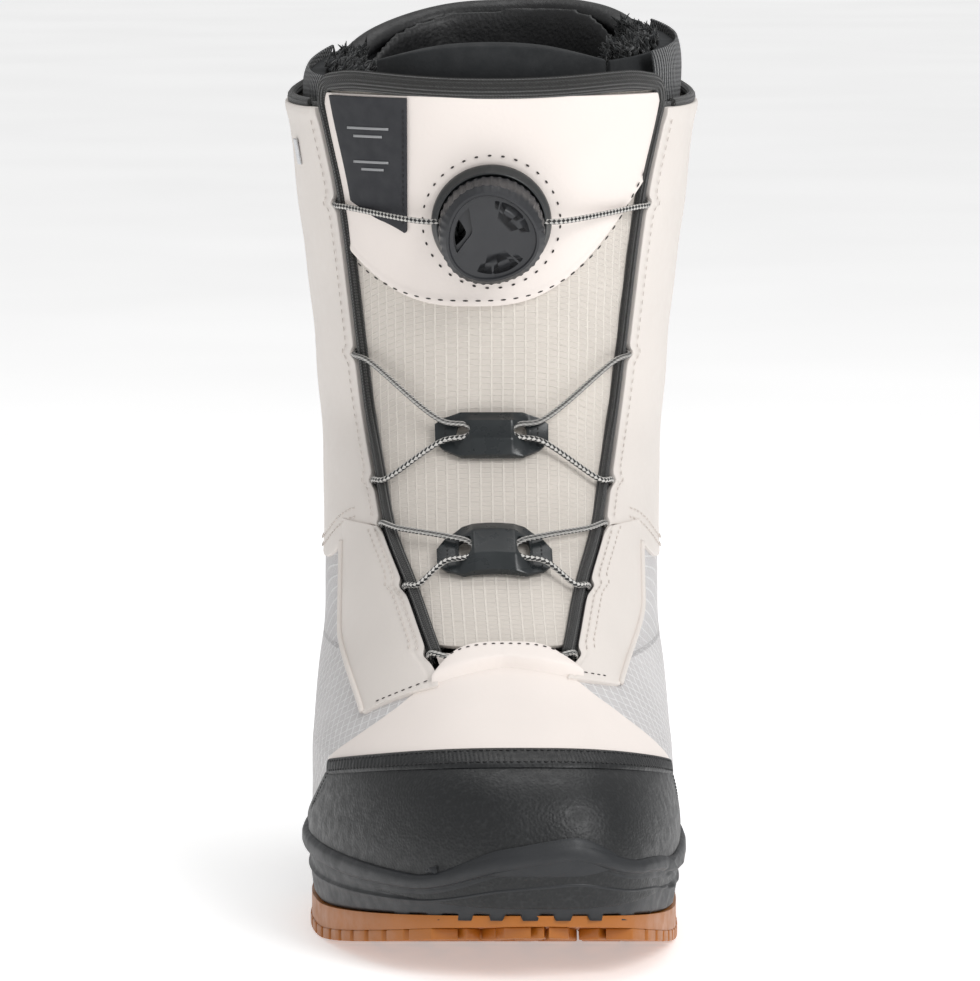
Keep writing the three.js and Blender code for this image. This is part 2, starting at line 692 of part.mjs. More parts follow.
function knob() {
  const inner = KNOB_RADIUS - KNOB_WALL;
  const cap = round([
    [0, KNOB_TOP - 3.2], [inner - 2.3, KNOB_TOP - 3.2], [inner, KNOB_TOP - 5.2], [inner, 5.6],
    [KNOB_RADIUS, 5.6], [KNOB_RADIUS - 0.2, KNOB_TOP - 2.2], [KNOB_RADIUS - 2.5, KNOB_TOP],
    [KNOB_RADIUS - 4.3, KNOB_TOP], [KNOB_RADIUS - 5.1, KNOB_TOP - 1], [0, KNOB_TOP - 1.4],
  ], 32);
  return cut(cap, ...[0, 1, 2].map((k) => knobWindow((k * Math.PI * 2) / 3)));
}

add('dial_base', dialBase(), 0x222326, 0.45, 0, dial);
add('dial_housing', dialHousing(), 0x2a2c2f, 0.45, 0, dial);
add('dial_ratchet_ring', toothedRing(), 0x3c3d40, 0.4, 0, dial);
add('dial_screw', round([[0, 2.6], [1.7, 2.6], [1.7, 9.4], [3.6, 9.4], [3.6, 10.8], [0, 10.8]].map(
  ([r, h]) => [r, h < 9 ? h : h + 2.2]), 16), 0xb9bcc0, 0.3, 0.9, dial);
add('dial_spool', round([
  [2.2, 2.6], [SPOOL_RADIUS, 2.6], [SPOOL_RADIUS, 3.4], [7.4, 3.5], [7.4, 5.3], [SPOOL_RADIUS, 5.4],
  [SPOOL_RADIUS, 6.2], [2.2, 6.2], [2.2, 2.6],
], 24), 0x515357, 0.4, 0, dial);
const wound = SPOOL_RADIUS - 0.7;
const winding = round([[7.7, 3.8], [wound, 3.8], [wound, 5.1], [7.7, 5.1], [7.7, 3.8]], 20);
add('lace_winding', winding, 0x1d1d1f, 0.8, 0, dial);
add('dial_drive_disc', driveDisc(), 0x8b8d90, 0.35, 0, dial);
add('dial_spring', springCoil(), 0xc4c7ca, 0.3, 0.9, dial);
add('dial_knob', knob(), 0x37393b, 0.5, 0, dial);

// ---- liner --------------------------------------------------------------------------------------------
function linerFoot() {
  const base = 24.4;
  const floor = 30;
  const profile = [{ axis: true, z: base }, { z: base, off: -FOOT_LINER_OUT - 1.5, flat: true }];
  const walls = [30, 45, 58, 66, 73, 80, 88];
  walls.forEach((z) => profile.push({ z, off: -FOOT_LINER_OUT }));
  walls.slice(1).reverse().forEach((z) => profile.push({ z, off: -FOOT_LINER_IN }));
  profile.push({ z: floor + 4, off: -FOOT_LINER_IN - 1 });
  profile.push({ z: floor, off: -FOOT_LINER_IN - 4, flat: true }, { axis: true, z: floor });
  return ring(profile, 34, (s, phi) => {
    const p = s.axis ? new THREE.Vector3(0, 0, s.z) : onLast(s.z, phi, s.off);
    return s.flat ? p.setZ(s.z) : p;
  });
}

const linerTop = (phi) => 272 + 5 * Math.sin(phi * RAD) + 20 * Math.sin((Math.min(Math.abs(phi), 180) / 2) * RAD) ** 4;
const LINER_THROAT = 0.8;

function linerShaft() {
  return sheet(24, 8, (u, v, w) => {
    const reach = mix(38, 322, u);
    const z = mix(89, linerTop(reach > 180 ? reach - 360 : reach), v);
    const edge = throatCentre(z) + throatHalf(z) * LINER_THROAT;
    const other = throatCentre(z) - throatHalf(z) * LINER_THROAT;
    const phi = mix(angleAtX(z, edge), 360 + angleAtX(z, other), u);
    const fill = THREE.MathUtils.smoothstep(Math.min(phi, 360 - phi), 69, 89);
    return onLast(z, phi, mix(-LINER_IN, mix(-LINER_OUT, -LINER_FULL, fill), w));
  });
}

function linerTongue() {
  return sheet(7, 10, (u, v, w) => {
    const side = 2 * u - 1;
    const z = mix(97, 280 - 5 * side * side, v);
    const x = throatCentre(z) + side * (throatHalf(z) * LINER_THROAT - 3);
    return atX(x, z, mix(-LINER_IN, -LINER_OUT + 2.5, w));
  });
}

// A pad on the inside of the liner's collar, between two angles.
function collarPad(from, to, low, rise, depth) {
  return sheet(12, 5, (u, v, w) => {
    const phi = mix(from, to, u);
    const folded = phi > 180 ? phi - 360 : phi;
    const swell = depth * (0.55 + 0.45 * Math.sin(u * Math.PI) * Math.sin(v * Math.PI));
    const z = mix(low, linerTop(folded) + rise, v);
    return onLast(z, phi, -LINER_IN - 1 - (1 - w) * swell);
  });
}

function spoilerPiping() {
  const points = [];
  for (let k = 0; k <= 12; k += 1) {
    const phi = mix(122, 238, k / 12);
    const folded = phi > 180 ? phi - 360 : phi;
    points.push(onLast(linerTop(folded) + 2, phi, -LINER_IN + 3));
  }
  return tube(points, 1.4, 24, 3);
}

function footbed() {
  const profile = [{ axis: true, z: 30.4 }, { z: 30.4 }, { z: 34 }, { axis: true, z: 34 }];
  return ring(profile, 32, (s, phi) => {
    const p = onLast(36, phi, -FOOT_LINER_IN - 5.5);
    return s.axis ? new THREE.Vector3(0, 0, s.z) : new THREE.Vector3(p.x, p.y, s.z);
  });
}

function gusset(side) {
  return sheet(2, 14, (u, v, w) => {
    const z = mix(THROAT_BOTTOM + 4, 250, v);
    return atX(throatX(z, side, mix(throatHalf(z) * 0.16, -5, u)), z, mix(-LINER_OUT + 1.6, -LINER_OUT + 2, w));
  });
}

add('liner_foot', linerFoot(), 0x3a3d40, 0.9);
add('liner_shaft', linerShaft(), 0x3a3d40, 0.9);
add('liner_tongue', linerTongue(), 0x3a3d40, 0.9);
add('footbed', footbed(), 0x55595c, 0.9);
add('fleece_collar_medial', collarPad(52, 117, 232, 0, 4.5), 0x2c3032, 1);
add('fleece_collar_lateral', collarPad(243, 308, 232, 0, 4.5), 0x2c3032, 1);
add('rear_spoiler_pad', collarPad(119, 241, 228, 0.5, 5.5), DARK, 0.5);
add('spoiler_piping', spoilerPiping(), DARK, 0.5);
for (const [word, side] of SIDES) {
  add(`gusset_${word}`, gusset(side), 0x8c8a88, 0.9);
}

// The origin is on the ground below the middle of the boot.
const bounds = new THREE.Box3().setFromObject(boot, true);
const middle = bounds.getCenter(new THREE.Vector3());
boot.position.set(-middle.x, -middle.y, -bounds.min.z);

export default boot;
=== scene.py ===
# %% [markdown]
# # A snowboard boot, dressed over its CAD frame
# The CAD model says where each piece sits and how it moves. This lesson builds the boot that is seen:
# stitched panels, a braided lace, a dial and a lugged sole. Every piece but the lace and the gussets
# rides on the CAD body that it belongs to, so the joints keep working. Sizes are in millimetres until a
# mesh is made.

import math

import bmesh
import bpy
import numpy as np
from mathutils import Matrix, Vector


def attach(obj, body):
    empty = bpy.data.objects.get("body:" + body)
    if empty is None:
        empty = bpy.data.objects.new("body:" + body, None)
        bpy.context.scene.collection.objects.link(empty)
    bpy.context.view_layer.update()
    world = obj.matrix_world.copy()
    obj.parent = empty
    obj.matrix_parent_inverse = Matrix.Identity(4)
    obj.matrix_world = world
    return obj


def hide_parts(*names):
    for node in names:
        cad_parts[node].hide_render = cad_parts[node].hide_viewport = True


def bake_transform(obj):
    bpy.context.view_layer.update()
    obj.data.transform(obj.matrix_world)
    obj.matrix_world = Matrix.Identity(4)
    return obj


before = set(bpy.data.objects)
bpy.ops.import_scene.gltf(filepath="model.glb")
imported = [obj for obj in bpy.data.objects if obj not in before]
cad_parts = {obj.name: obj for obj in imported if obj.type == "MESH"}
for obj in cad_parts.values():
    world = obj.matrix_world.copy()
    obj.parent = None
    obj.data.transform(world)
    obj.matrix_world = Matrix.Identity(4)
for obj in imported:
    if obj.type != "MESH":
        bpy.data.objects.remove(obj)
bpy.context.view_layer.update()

# %% [markdown]
# ## Camera, light and floor
# A long lens a little above the ankle looks down at the toe. One lamp could light the boot, but its
# shadows would be hard. Three broad area lights and a bright world give soft shadows on a plain pale
# floor.

# %% Camera, light and floor
scene = bpy.context.scene
lens = bpy.data.cameras.new("camera")
lens.lens, lens.sensor_width, lens.shift_x = 232.9, 36, -0.0015
camera = bpy.data.objects.new("camera", lens)
camera.location = (0, -2.058, 0.36)
camera.rotation_euler = (math.radians(90 - 6.21), 0, 0)
scene.collection.objects.link(camera)
scene.camera = camera


def area_light(name, place, target, size, power):
    lamp = bpy.data.lights.new(name, "AREA")
    lamp.shape, lamp.size, lamp.energy = "DISK", size, power
    made = bpy.data.objects.new(name, lamp)
    made.location = place
    made.rotation_euler = (Vector(target) - Vector(place)).to_track_quat("-Z", "Y").to_euler()
    scene.collection.objects.link(made)


area_light("key", (1.1, -1.5, 1.3), (0, 0, 0.12), 1.1, 21)
area_light("fill", (-1.4, -1.2, 0.9), (0, 0, 0.12), 1.2, 0.6)
area_light("top", (0.1, 0.3, 1.8), (0, 0, 0.15), 1.4, 9)
world = bpy.data.worlds.new("studio")
world.use_nodes = True
world.node_tree.nodes["Background"].inputs["Color"].default_value = (1, 1, 1, 1)
world.node_tree.nodes["Background"].inputs["Strength"].default_value = 0.5
scene.world = world
scene.view_settings.view_transform = "Standard"

floor_form = bmesh.new()
bmesh.ops.create_grid(floor_form, x_segments=2, y_segments=2, size=60)
floor_mesh = bpy.data.meshes.new("floor")
floor_form.to_mesh(floor_mesh)
floor = bpy.data.objects.new("floor", floor_mesh)
scene.collection.objects.link(floor)
print("camera at", tuple(round(c, 3) for c in camera.location))

# %% [markdown]
# ## The last
# A boot is built on a last, so every panel here is laid on one smooth surface. Panels could also be
# sculpted one by one, but then their edges would not meet. The first table gives level slices:
# height, front, back, half widths at toe, ball, waist and heel, and how far the toe shifts toward
# the inner side. The second gives the gap between the quarters: height, half width and centre.
# Angle 0 is the toe, 90 the inner side and 180 the heel.

# %% The last surface
LEVELS = np.array([
    [10, -149, 145, 55, 57, 47, 49, 15], [30, -151, 149, 57, 58, 48, 50, 15],
    [45, -150, 149.5, 56, 57.5, 49.5, 50, 14.5], [56, -146, 148.5, 53, 57, 51, 49, 13],
    [64, -137.5, 147.5, 50, 56, 52, 48, 11], [72, -122, 146.3, 47, 55.5, 53, 48, 8],
    [80, -106, 145, 46, 55, 54, 48, 5.5], [90, -88, 143, 46, 54, 54.5, 48, 3.6],
    [105, -67, 140.5, 47, 54, 55, 48, 2.2], [122, -45, 138, 48, 54, 55.3, 48.5, 1],
    [140, -23, 135, 50, 54.5, 55.8, 49, 0.5], [160, -8, 132, 50, 55.5, 56.7, 50, 0],
    [195, -10.5, 128, 51, 58.5, 59.7, 52, 0], [230, -19.5, 124, 54, 62.5, 63.1, 54, 0],
    [262, -28.5, 120, 58, 66.3, 66.4, 56, 0], [300, -38, 114, 60, 68.5, 68, 57, 0],
]).T
THROAT = np.array([
    [86, 20.5, 3.6], [91, 23.3, 3.4], [110, 29.8, 1.6], [126, 36.3, 0.6], [139, 39, 0.3],
    [160, 42.8, 0], [179, 45.2, 0], [232, 51.6, 0], [262, 57.6, 0], [290, 62, 0],
]).T
ACROSS = np.array([0, 0.33, 0.66, 1])
CENTRE_SHIFT = 1.995  # from the last's own y to the frame's y
FOREFOOT_FILL = 2.7  # wider than the table below the instep
SIDE_FULLNESS = 0.72  # 1 would make each level an ellipse, and less makes it boxier
WORDS = ((-1, "lateral"), (1, "medial"))


def smooth_row(stops, pick, at):
    """A cubic through rows: pick(i) gives the values at each stop i."""
    k = np.searchsorted(stops[1:-1], at, side="left")
    before, after = np.maximum(k - 1, 0), np.minimum(k + 2, len(stops) - 1)
    a, b = pick(k), pick(k + 1)
    span = stops[k + 1] - stops[k]
    t = np.clip((at - stops[k]) / span, 0, 1)
    leaving = (b - pick(before)) / (stops[k + 1] - stops[before])
    arriving = (pick(after) - a) / (stops[after] - stops[k])
    rise = a + (b - a) * t * t * (3 - 2 * t)
    return rise + t * (1 - t) ** 2 * span * leaving - t * t * (1 - t) * span * arriving


def even(*values):
    """The values as arrays of one length."""
    return [np.array(v, float).ravel() for v in np.broadcast_arrays(*np.atleast_1d(*values))]


def last_point(z, phi):
    z, phi = even(z, phi)
    front, back, *widths, shift = smooth_row(LEVELS[0], lambda k: LEVELS[1:, k], z)
    widths = np.stack(widths)
    c, s = np.cos(np.radians(phi)), np.sin(np.radians(phi))
    along = (1 - c) / 2
    width = smooth_row(ACROSS, lambda k: widths[k, np.arange(len(z))], along)
    width = width + FOREFOOT_FILL * step(98, 58, z) * step(0.85, 0.5, along)
    lean = shift * np.maximum(0, 1 - along / 0.45) ** 2
    x = np.sign(s) * width * np.abs(s) ** SIDE_FULLNESS + lean
    return np.stack([x, (front + back) / 2 - (back - front) / 2 * c, z], axis=1)


def on_last(z, phi, off=0.0):
    """Points at a distance off the last, outward when positive."""
    z, phi, off = even(z, phi, off)
    across = last_point(z, phi + 1) - last_point(z, phi - 1)
    up = last_point(z + 1.5, phi) - last_point(z - 1.5, phi)
    out = np.cross(across, up)
    out /= np.linalg.norm(out, axis=1)[:, None]
    return last_point(z, phi) + out * off[:, None]


def angle_at(z, x):
    """The angle on the front of the last where it is x to the side."""
    z, x = even(z, x)
    low, high = np.full(len(z), -88.0), np.full(len(z), 88.0)
    for _ in range(24):
        middle = (low + high) / 2
        over = last_point(z, middle)[:, 0] > x
        high, low = np.where(over, middle, high), np.where(over, low, middle)
    return (low + high) / 2


def at_x(x, z, off=0.0):
    return on_last(z, angle_at(z, x), off)


def throat(z):
    """Half width and centre of the gap between the quarters."""
    return smooth_row(THROAT[0], lambda k: THROAT[1:, k], np.atleast_1d(np.asarray(z, float)))


def throat_x(z, side, inset=0.0):
    half, centre = throat(z)
    return centre + side * (half - inset)


def throat_angle(z, side, inset=0.0):
    return angle_at(z, throat_x(z, side, inset))


def mix(a, b, t):
    return a + (b - a) * t


def step(low, high, value):
    t = np.clip((value - low) / (high - low), 0, 1)
    return t * t * (3 - 2 * t)


def hump(value, centre, width):
    return np.exp(-(((value - centre) / width) ** 2))


def signed(phi):
    """The same angle counted from -180 to 180."""
    return np.where(phi > 180, phi - 360, phi)


print("widest level", round(float(np.abs(last_point(262, np.arange(360))[:, 0]).max()), 1), "mm")

# %% [markdown]
# ## Mesh helpers
# A boot's panels are cut flat and then pulled over the last, and the meshes follow that. A panel
# starts as a flat bmesh grid. Its corners are then placed on the last, its UVs are the real distances
# along the cloth in metres, and modifiers give it a thickness and rounded edges. A block is a cut
# cube treated the same way, and a tube is a grid rolled round a path.

# %% Mesh helpers
def to_frame(points):
    return (np.asarray(points) + (0, CENTRE_SHIFT, 0)) / 1000


def core(points):
    """The nearest point on the boot's middle line, to tell outward from inward."""
    middle = points.copy()
    reach = np.interp(points[:, 2], [60, 130], [-90, 20])
    middle[:, 0] = 0
    middle[:, 1] = np.clip(points[:, 1], reach, 90)
    middle[:, 2] = np.clip(points[:, 2], 45, 250)
    return middle


def as_object(form, name):
    mesh = bpy.data.meshes.new(name)
    form.to_mesh(mesh)
    form.free()
    made = bpy.data.objects.new(name, mesh)
    scene.collection.objects.link(made)
    mesh.shade_smooth()
    return made


def lay(name, columns, rows, place, closed=False):
    """A grid placed on the boot. place takes u and v from 0 to 1 and gives points in millimetres."""
    form = bmesh.new()
    bmesh.ops.create_grid(form, x_segments=columns, y_segments=rows, size=0.5)
    flat = np.array([v.co[:2] for v in form.verts]) + 0.5
    points = place(flat[:, 0], flat[:, 1])
    order = np.lexsort((flat[:, 0].round(5), flat[:, 1].round(5)))
    table = points[order].reshape(-1, len(np.unique(flat[:, 0].round(5))), 3)
    steps_u = np.linalg.norm(np.diff(table, axis=1), axis=2)
    steps_v = np.linalg.norm(np.diff(table, axis=0), axis=2)
    u = np.pad(np.cumsum(steps_u, axis=1), ((0, 0), (1, 0)))
    v = np.pad(np.cumsum(steps_v, axis=0), ((1, 0), (0, 0)))
    u -= u[:, u.shape[1] // 2][:, None]
    cloth = np.empty((len(flat), 2))
    cloth[order] = np.stack([u.ravel(), v.ravel()], axis=1) / 1000
    made = as_object(form, name)
    mesh = made.data
    mesh.vertices.foreach_set("co", to_frame(points).ravel())
    corners = np.empty(len(mesh.loops), np.int32)
    mesh.loops.foreach_get("vertex_index", corners)
    mesh.uv_layers.new(name="cloth").data.foreach_set("uv", cloth[corners].ravel())
    mesh.update()
    form = bmesh.new()
    form.from_mesh(mesh)
    if closed:
        bmesh.ops.remove_doubles(form, verts=form.verts, dist=1e-6)
        bmesh.ops.dissolve_degenerate(form, edges=form.edges, dist=1e-7)
        bmesh.ops.holes_fill(form, edges=[e for e in form.edges if e.is_boundary], sides=0)
        bmesh.ops.recalc_face_normals(form, faces=form.faces)
    else:
        middles = np.array([f.calc_center_median() for f in form.faces]) * 1000
        outward = middles - core(middles)
        facing = (np.array([f.normal for f in form.faces]) * outward).sum()
        if facing < 0:
            bmesh.ops.reverse_faces(form, faces=form.faces)
    form.to_mesh(mesh)
    form.free()
    mesh.shade_smooth()
    return made


def block(name, columns, rows, layers, place):
    """A cube cut into cells and placed: u across, v up and w outward, each from 0 to 1."""
    form = bmesh.new()
    bmesh.ops.create_cube(form, size=1)
    for axis, count in enumerate((columns, rows, layers)):
        normal = Vector((0, 0, 0))
        normal[axis] = 1
        for k in range(1, count):
            everything = [*form.verts, *form.edges, *form.faces]
            place_at = normal * (k / count - 0.5)
            bmesh.ops.bisect_plane(form, geom=everything, plane_co=place_at, plane_no=normal)
    flat = np.array([v.co for v in form.verts]) + 0.5
    points = to_frame(place(flat[:, 0], flat[:, 1], flat[:, 2]))
    for vertex, point in zip(form.verts, points):
        vertex.co = point
    bmesh.ops.recalc_face_normals(form, faces=form.faces)
    return as_object(form, name)


def path_frames(points, normals=None):
    """Tangents, sides and normals along a path."""
    tangent = np.gradient(points, axis=0)
    tangent /= np.linalg.norm(tangent, axis=1)[:, None]
    if normals is None:
        normals = np.empty_like(points)
        lead = np.cross(tangent[0], (0.3, 0.2, 0.9))
        for k, t in enumerate(tangent):
            lead = lead - t * (lead @ t)
            lead /= np.linalg.norm(lead)
            normals[k] = lead
    normals = normals - tangent * (normals * tangent).sum(axis=1)[:, None]
    normals /= np.linalg.norm(normals, axis=1)[:, None]
    return tangent, np.cross(tangent, normals), normals


def resample(points, pitch):
    """The same path with stops a pitch apart."""
    points = np.asarray(points, float)
    run = np.concatenate([[0], np.cumsum(np.linalg.norm(np.diff(points, axis=0), axis=1))])
    count = max(int(run[-1] / pitch), 2)
    stops = np.linspace(0, run[-1], count + 1)
    return np.stack([np.interp(stops, run, points[:, k]) for k in range(3)], axis=1)


def smooth_path(stops, per_span=8):
    """A centripetal Catmull-Rom curve through the stops."""
    stops = np.asarray(stops, float)
    ends = np.vstack([2 * stops[0] - stops[1], stops, 2 * stops[-1] - stops[-2]])
    out = []
    for k in range(len(stops) - 1):
        p0, p1, p2, p3 = ends[k : k + 4]
        d0, d1, d2 = [max(np.linalg.norm(b - a), 1e-6) ** 0.5 for a, b in ((p0, p1), (p1, p2), (p2, p3))]
        t1 = ((p1 - p0) / d0 - (p2 - p0) / (d0 + d1) + (p2 - p1) / d1) * d1
        t2 = ((p2 - p1) / d1 - (p3 - p1) / (d1 + d2) + (p3 - p2) / d2) * d1
        for t in np.arange(per_span) / per_span:
            bend = (-3 * p1 + 3 * p2 - 2 * t1 - t2) * t * t + (2 * p1 - 2 * p2 + t1 + t2) * t**3
            out.append(p1 + t1 * t + bend)
    return np.array([*out, stops[-1]])


def tube(name, points, section, sides, normals=None):
    """A closed tube. section takes the turn round the path and the share of its length so far,
    and gives the distances to the side and outward."""
    _, side, rise = path_frames(points, normals)

    def place(u, v):
        k = np.clip(np.round(v * (len(points) - 1)).astype(int), 0, len(points) - 1)
        across, up = section(np.round(u * sides) / sides * math.tau, v)
        return points[k] + side[k] * across[:, None] + rise[k] * up[:, None]

    return lay(name, sides, len(points) - 1, place, closed=True)


def oval(wide, tall):
    """The section of a plain tube, from its half width and half height."""
    return lambda a, t: (wide * np.cos(a), tall * np.sin(a))


def ribbed_oval(wide, tall, a):
    """An oval with twelve shallow ribs round it, for rolled webbing."""
    rib = 1 + 0.05 * np.cos(a * 12)
    return wide * rib * np.cos(a), tall * rib * np.sin(a)


def soften(piece, width, segments=2, angle=35):
    """Rounds the edges that turn more sharply than the angle."""
    rounding = piece.modifiers.new("rounding", "BEVEL")
    rounding.width, rounding.segments = width / 1000, segments
    rounding.limit_method, rounding.angle_limit = "ANGLE", math.radians(angle)


def finish_edges(piece, thick, edge=0.35, segments=2):
    """A thickness inward from the outer face, with rounded rims."""
    if thick:
        solid = piece.modifiers.new("thickness", "SOLIDIFY")
        solid.thickness, solid.offset = thick / 1000, -1
        solid.use_even_offset = True
    if edge:
        soften(piece, edge, segments, 50)


def wear(piece, body, finish, nodes=()):
    """Gives a piece its material and its body, and hides the CAD nodes that it stands for."""
    piece.data.materials.clear()
    piece.data.materials.append(finish)
    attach(piece, body)
    if nodes:
        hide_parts(*nodes)
    return piece


def carry(node, finish):
    """Gives a material to a CAD piece that is seen just as it is."""
    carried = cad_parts[node]
    carried.data.materials.clear()
    carried.data.materials.append(finish)


def stitches(name, points, normals, body, finish, pitch=2.6, length=1.7, radius=0.3):
    """A row of thread stitches along a path, each a small capsule."""
    run = np.concatenate([[0], np.cumsum(np.linalg.norm(np.diff(points, axis=0), axis=1))])
    stops = np.arange(pitch / 2, run[-1], pitch)
    at = np.stack([np.interp(stops, run, points[:, k]) for k in range(3)], axis=1)
    out = np.stack([np.interp(stops, run, normals[:, k]) for k in range(3)], axis=1)
    tangent, side, rise = path_frames(at, out)
    form = bmesh.new()
    for p, t, s, r in zip(to_frame(at), tangent * length / 2e3, side * radius / 1e3, rise * radius / 1.4e3):
        placed = Matrix(((*s, 0), (*r, 0), (*t, 0), (*p, 1))).transposed()
        bmesh.ops.create_uvsphere(form, u_segments=6, v_segments=4, radius=1, matrix=placed)
    bmesh.ops.recalc_face_normals(form, faces=form.faces)
    row = as_object(form, name)
    return wear(row, body, finish)


def along_last(z, phi, off):
    """A path on the last with its outward normals."""
    points = on_last(z, phi, off)
    return points, on_last(z, phi, np.asarray(off) + 1) - points


def seam_row(name, z, phi, off, body, finish, **sizes):
    points, normals = along_last(z, phi, off)
    return stitches(name, points, normals, body, finish, **sizes)


print("last goes from", at_x(0, 30)[0].round(1), "to", last_point(300, 180)[0].round(1), "mm")

# %% [markdown]
# ## Materials
# Each material is a small node tree. `Paint` adds nodes with short names, so that grain, weave and
# tone read as a list of steps. Leather and foam read the object's own coordinates; woven cloth reads
# the UVs, which are real distances, so a rib is the same width on every panel.

# %% Node helpers
class Paint:
    def __init__(self, name, roughness=0.6):
        self.made = bpy.data.materials.new(name)
        self.made.use_nodes = True
        self.tree = self.made.node_tree
        self.skin = self.tree.nodes["Principled BSDF"]
        self.skin.inputs["Roughness"].default_value = roughness
        self.place = self.tree.nodes.new("ShaderNodeTexCoord").outputs["Object"]
        self.normal = None

    def node(self, kind, out=0, settings=(), **sockets):
        made = self.tree.nodes.new("ShaderNode" + kind)
        for key, value in dict(settings).items():
            setattr(made, key, value)
        for key, value in sockets.items():
            socket = made.inputs[int(key[1:])] if key[1:].isdigit() else made.inputs[key.replace("_", " ")]
            if isinstance(value, bpy.types.NodeSocket):
                self.tree.links.new(value, socket)
            else:
                socket.default_value = value
        return made.outputs[out]

    def calc(self, operation, a, b=0.0, c=0.0):
        return self.node("Math", settings={"operation": operation}, i0=a, i1=b, i2=c)

    def noise(self, scale, detail=3.0, rough=0.5, vector=None):
        vector = vector or self.place
        return self.node("TexNoise", Vector=vector, Scale=scale, Detail=detail, Roughness=rough)

    def cells(self, scale, feature="F1", vector=None):
        vector = vector or self.place
        return self.node("TexVoronoi", settings={"feature": feature}, Vector=vector, Scale=scale)

    def blend(self, amount, a, b):
        return self.node("Mix", 2, {"data_type": "RGBA"}, i0=amount, i6=a, i7=b)

    def between(self, value, low, high, to_low=0.0, to_high=1.0):
        return self.node(
            "MapRange", Value=value, From_Min=low, From_Max=high, To_Min=to_low, To_Max=to_high
        )

    def bump(self, height, depth_mm, strength=1.0):
        sockets = {"Height": height, "Distance": depth_mm / 1000, "Strength": strength}
        if self.normal:
            sockets["Normal"] = self.normal
        self.normal = self.node("Bump", **sockets)

    def cloth(self):
        """u and v in metres along the panel."""
        split = self.node("SeparateXYZ", Vector=self.node("UVMap", settings={"uv_map": "cloth"}))
        return split, split.node.outputs[1]

    def finish(self, color, roughness=None, **values):
        self.set("Base Color", color)
        if roughness is not None:
            self.set("Roughness", roughness)
        for key, value in values.items():
            self.set(key.replace("_", " "), value)
        if self.normal:
            self.set("Normal", self.normal)
        return self.made

    def set(self, name, value):
        socket = self.skin.inputs[name]
        if isinstance(value, bpy.types.NodeSocket):
            self.tree.links.new(value, socket)
        else:
            socket.default_value = value


def tone(red, green, blue):
    """A colour from its sRGB values."""
    line = [((c / 255 + 0.055) / 1.055) ** 2.4 if c > 10 else c / 255 / 12.92 for c in (red, green, blue)]
    return (*line, 1)


print("a mid grey is", round(tone(128, 128, 128)[0], 3), "in linear light")


# %% [markdown]
# ## Leather, cloth and foam
# The boot mixes grained leather, woven cloth with a grid of thick threads, ribbed webbing and
# moulded foam. An image could be wrapped on each panel, but it would stretch and repeat. Each finish
# is a function of a few sizes instead, so one weave serves the tongue, the sides and the gussets.

# %% Leather, cloth and foam
def leather(name, color, grain_mm, depth, roughness, shade=0.85, sheen=0.0, grain_highlight=0.0):
    """Grained leather: cells for the grain, slow noise for tone, fine noise for pores, and a painted
    highlight on the raised grain.
    """
    p = Paint(name)
    slow = p.noise(22, 2)
    grain = p.cells(1000 / grain_mm, "SMOOTH_F1")
    pores = p.noise(2600, 2)
    p.bump(p.noise(90, 3), depth * 2.5, 0.35)
    p.bump(grain, depth, 0.8)
    p.bump(pores, depth * 0.4, 0.5)
    darker = tuple(c * shade for c in color[:3]) + (1,)
    base = p.blend(p.between(slow, 0.3, 0.7), color, darker)
    # Painted highlight: where the grain stands highest, the colour is painted lighter.
    highlight_tone = tuple(min(c * 1.6 + 0.02, 1) for c in color[:3]) + (1,)
    base = p.blend(p.calc("MULTIPLY", p.between(grain, 0.45, 0.75), grain_highlight), base, highlight_tone)
    rough = p.between(p.noise(300, 3), 0.3, 0.7, roughness - 0.07, roughness + 0.09)
    return p.finish(base, rough, Sheen_Weight=sheen, Sheen_Roughness=0.4)


def ripstop(name, color, thread, across_mm, along_mm, width=0.16, turn=0.0, depth=0.18):
    """Plain weave with a grid of thicker threads, turned for a diamond grid."""
    p = Paint(name)
    cloth = p.node("UVMap", settings={"uv_map": "cloth"})
    turned = p.node("VectorRotate", Vector=cloth, Angle=turn)
    u = p.node("SeparateXYZ", 0, Vector=turned)
    v = u.node.outputs[1]

    def lines(value, pitch):
        phase = p.calc("PINGPONG", p.calc("MULTIPLY", value, 1000 / pitch), 0.5)
        return p.between(phase, width, width * 0.45)

    grid = p.calc("MAXIMUM", lines(u, across_mm), lines(v, along_mm))
    weave = p.calc(
        "MULTIPLY",
        p.calc("SINE", p.calc("MULTIPLY", u, math.tau * 2200)),
        p.calc("SINE", p.calc("MULTIPLY", v, math.tau * 2200)),
    )
    p.bump(p.noise(45, 3), 1.1, 0.3)
    p.bump(grid, depth, 0.9)
    p.bump(weave, 0.05, 0.6)
    slow = p.between(p.noise(30, 3), 0.3, 0.7)
    dull = tuple(c * 0.88 for c in color[:3]) + (1,)
    base = p.blend(slow, color, dull)
    broken = p.calc("MULTIPLY", grid, p.between(p.noise(700, 2), 0.35, 0.55, 0.55, 1))
    base = p.blend(broken, base, thread)
    return p.finish(base, 0.62, Sheen_Weight=0.25, Sheen_Roughness=0.45)


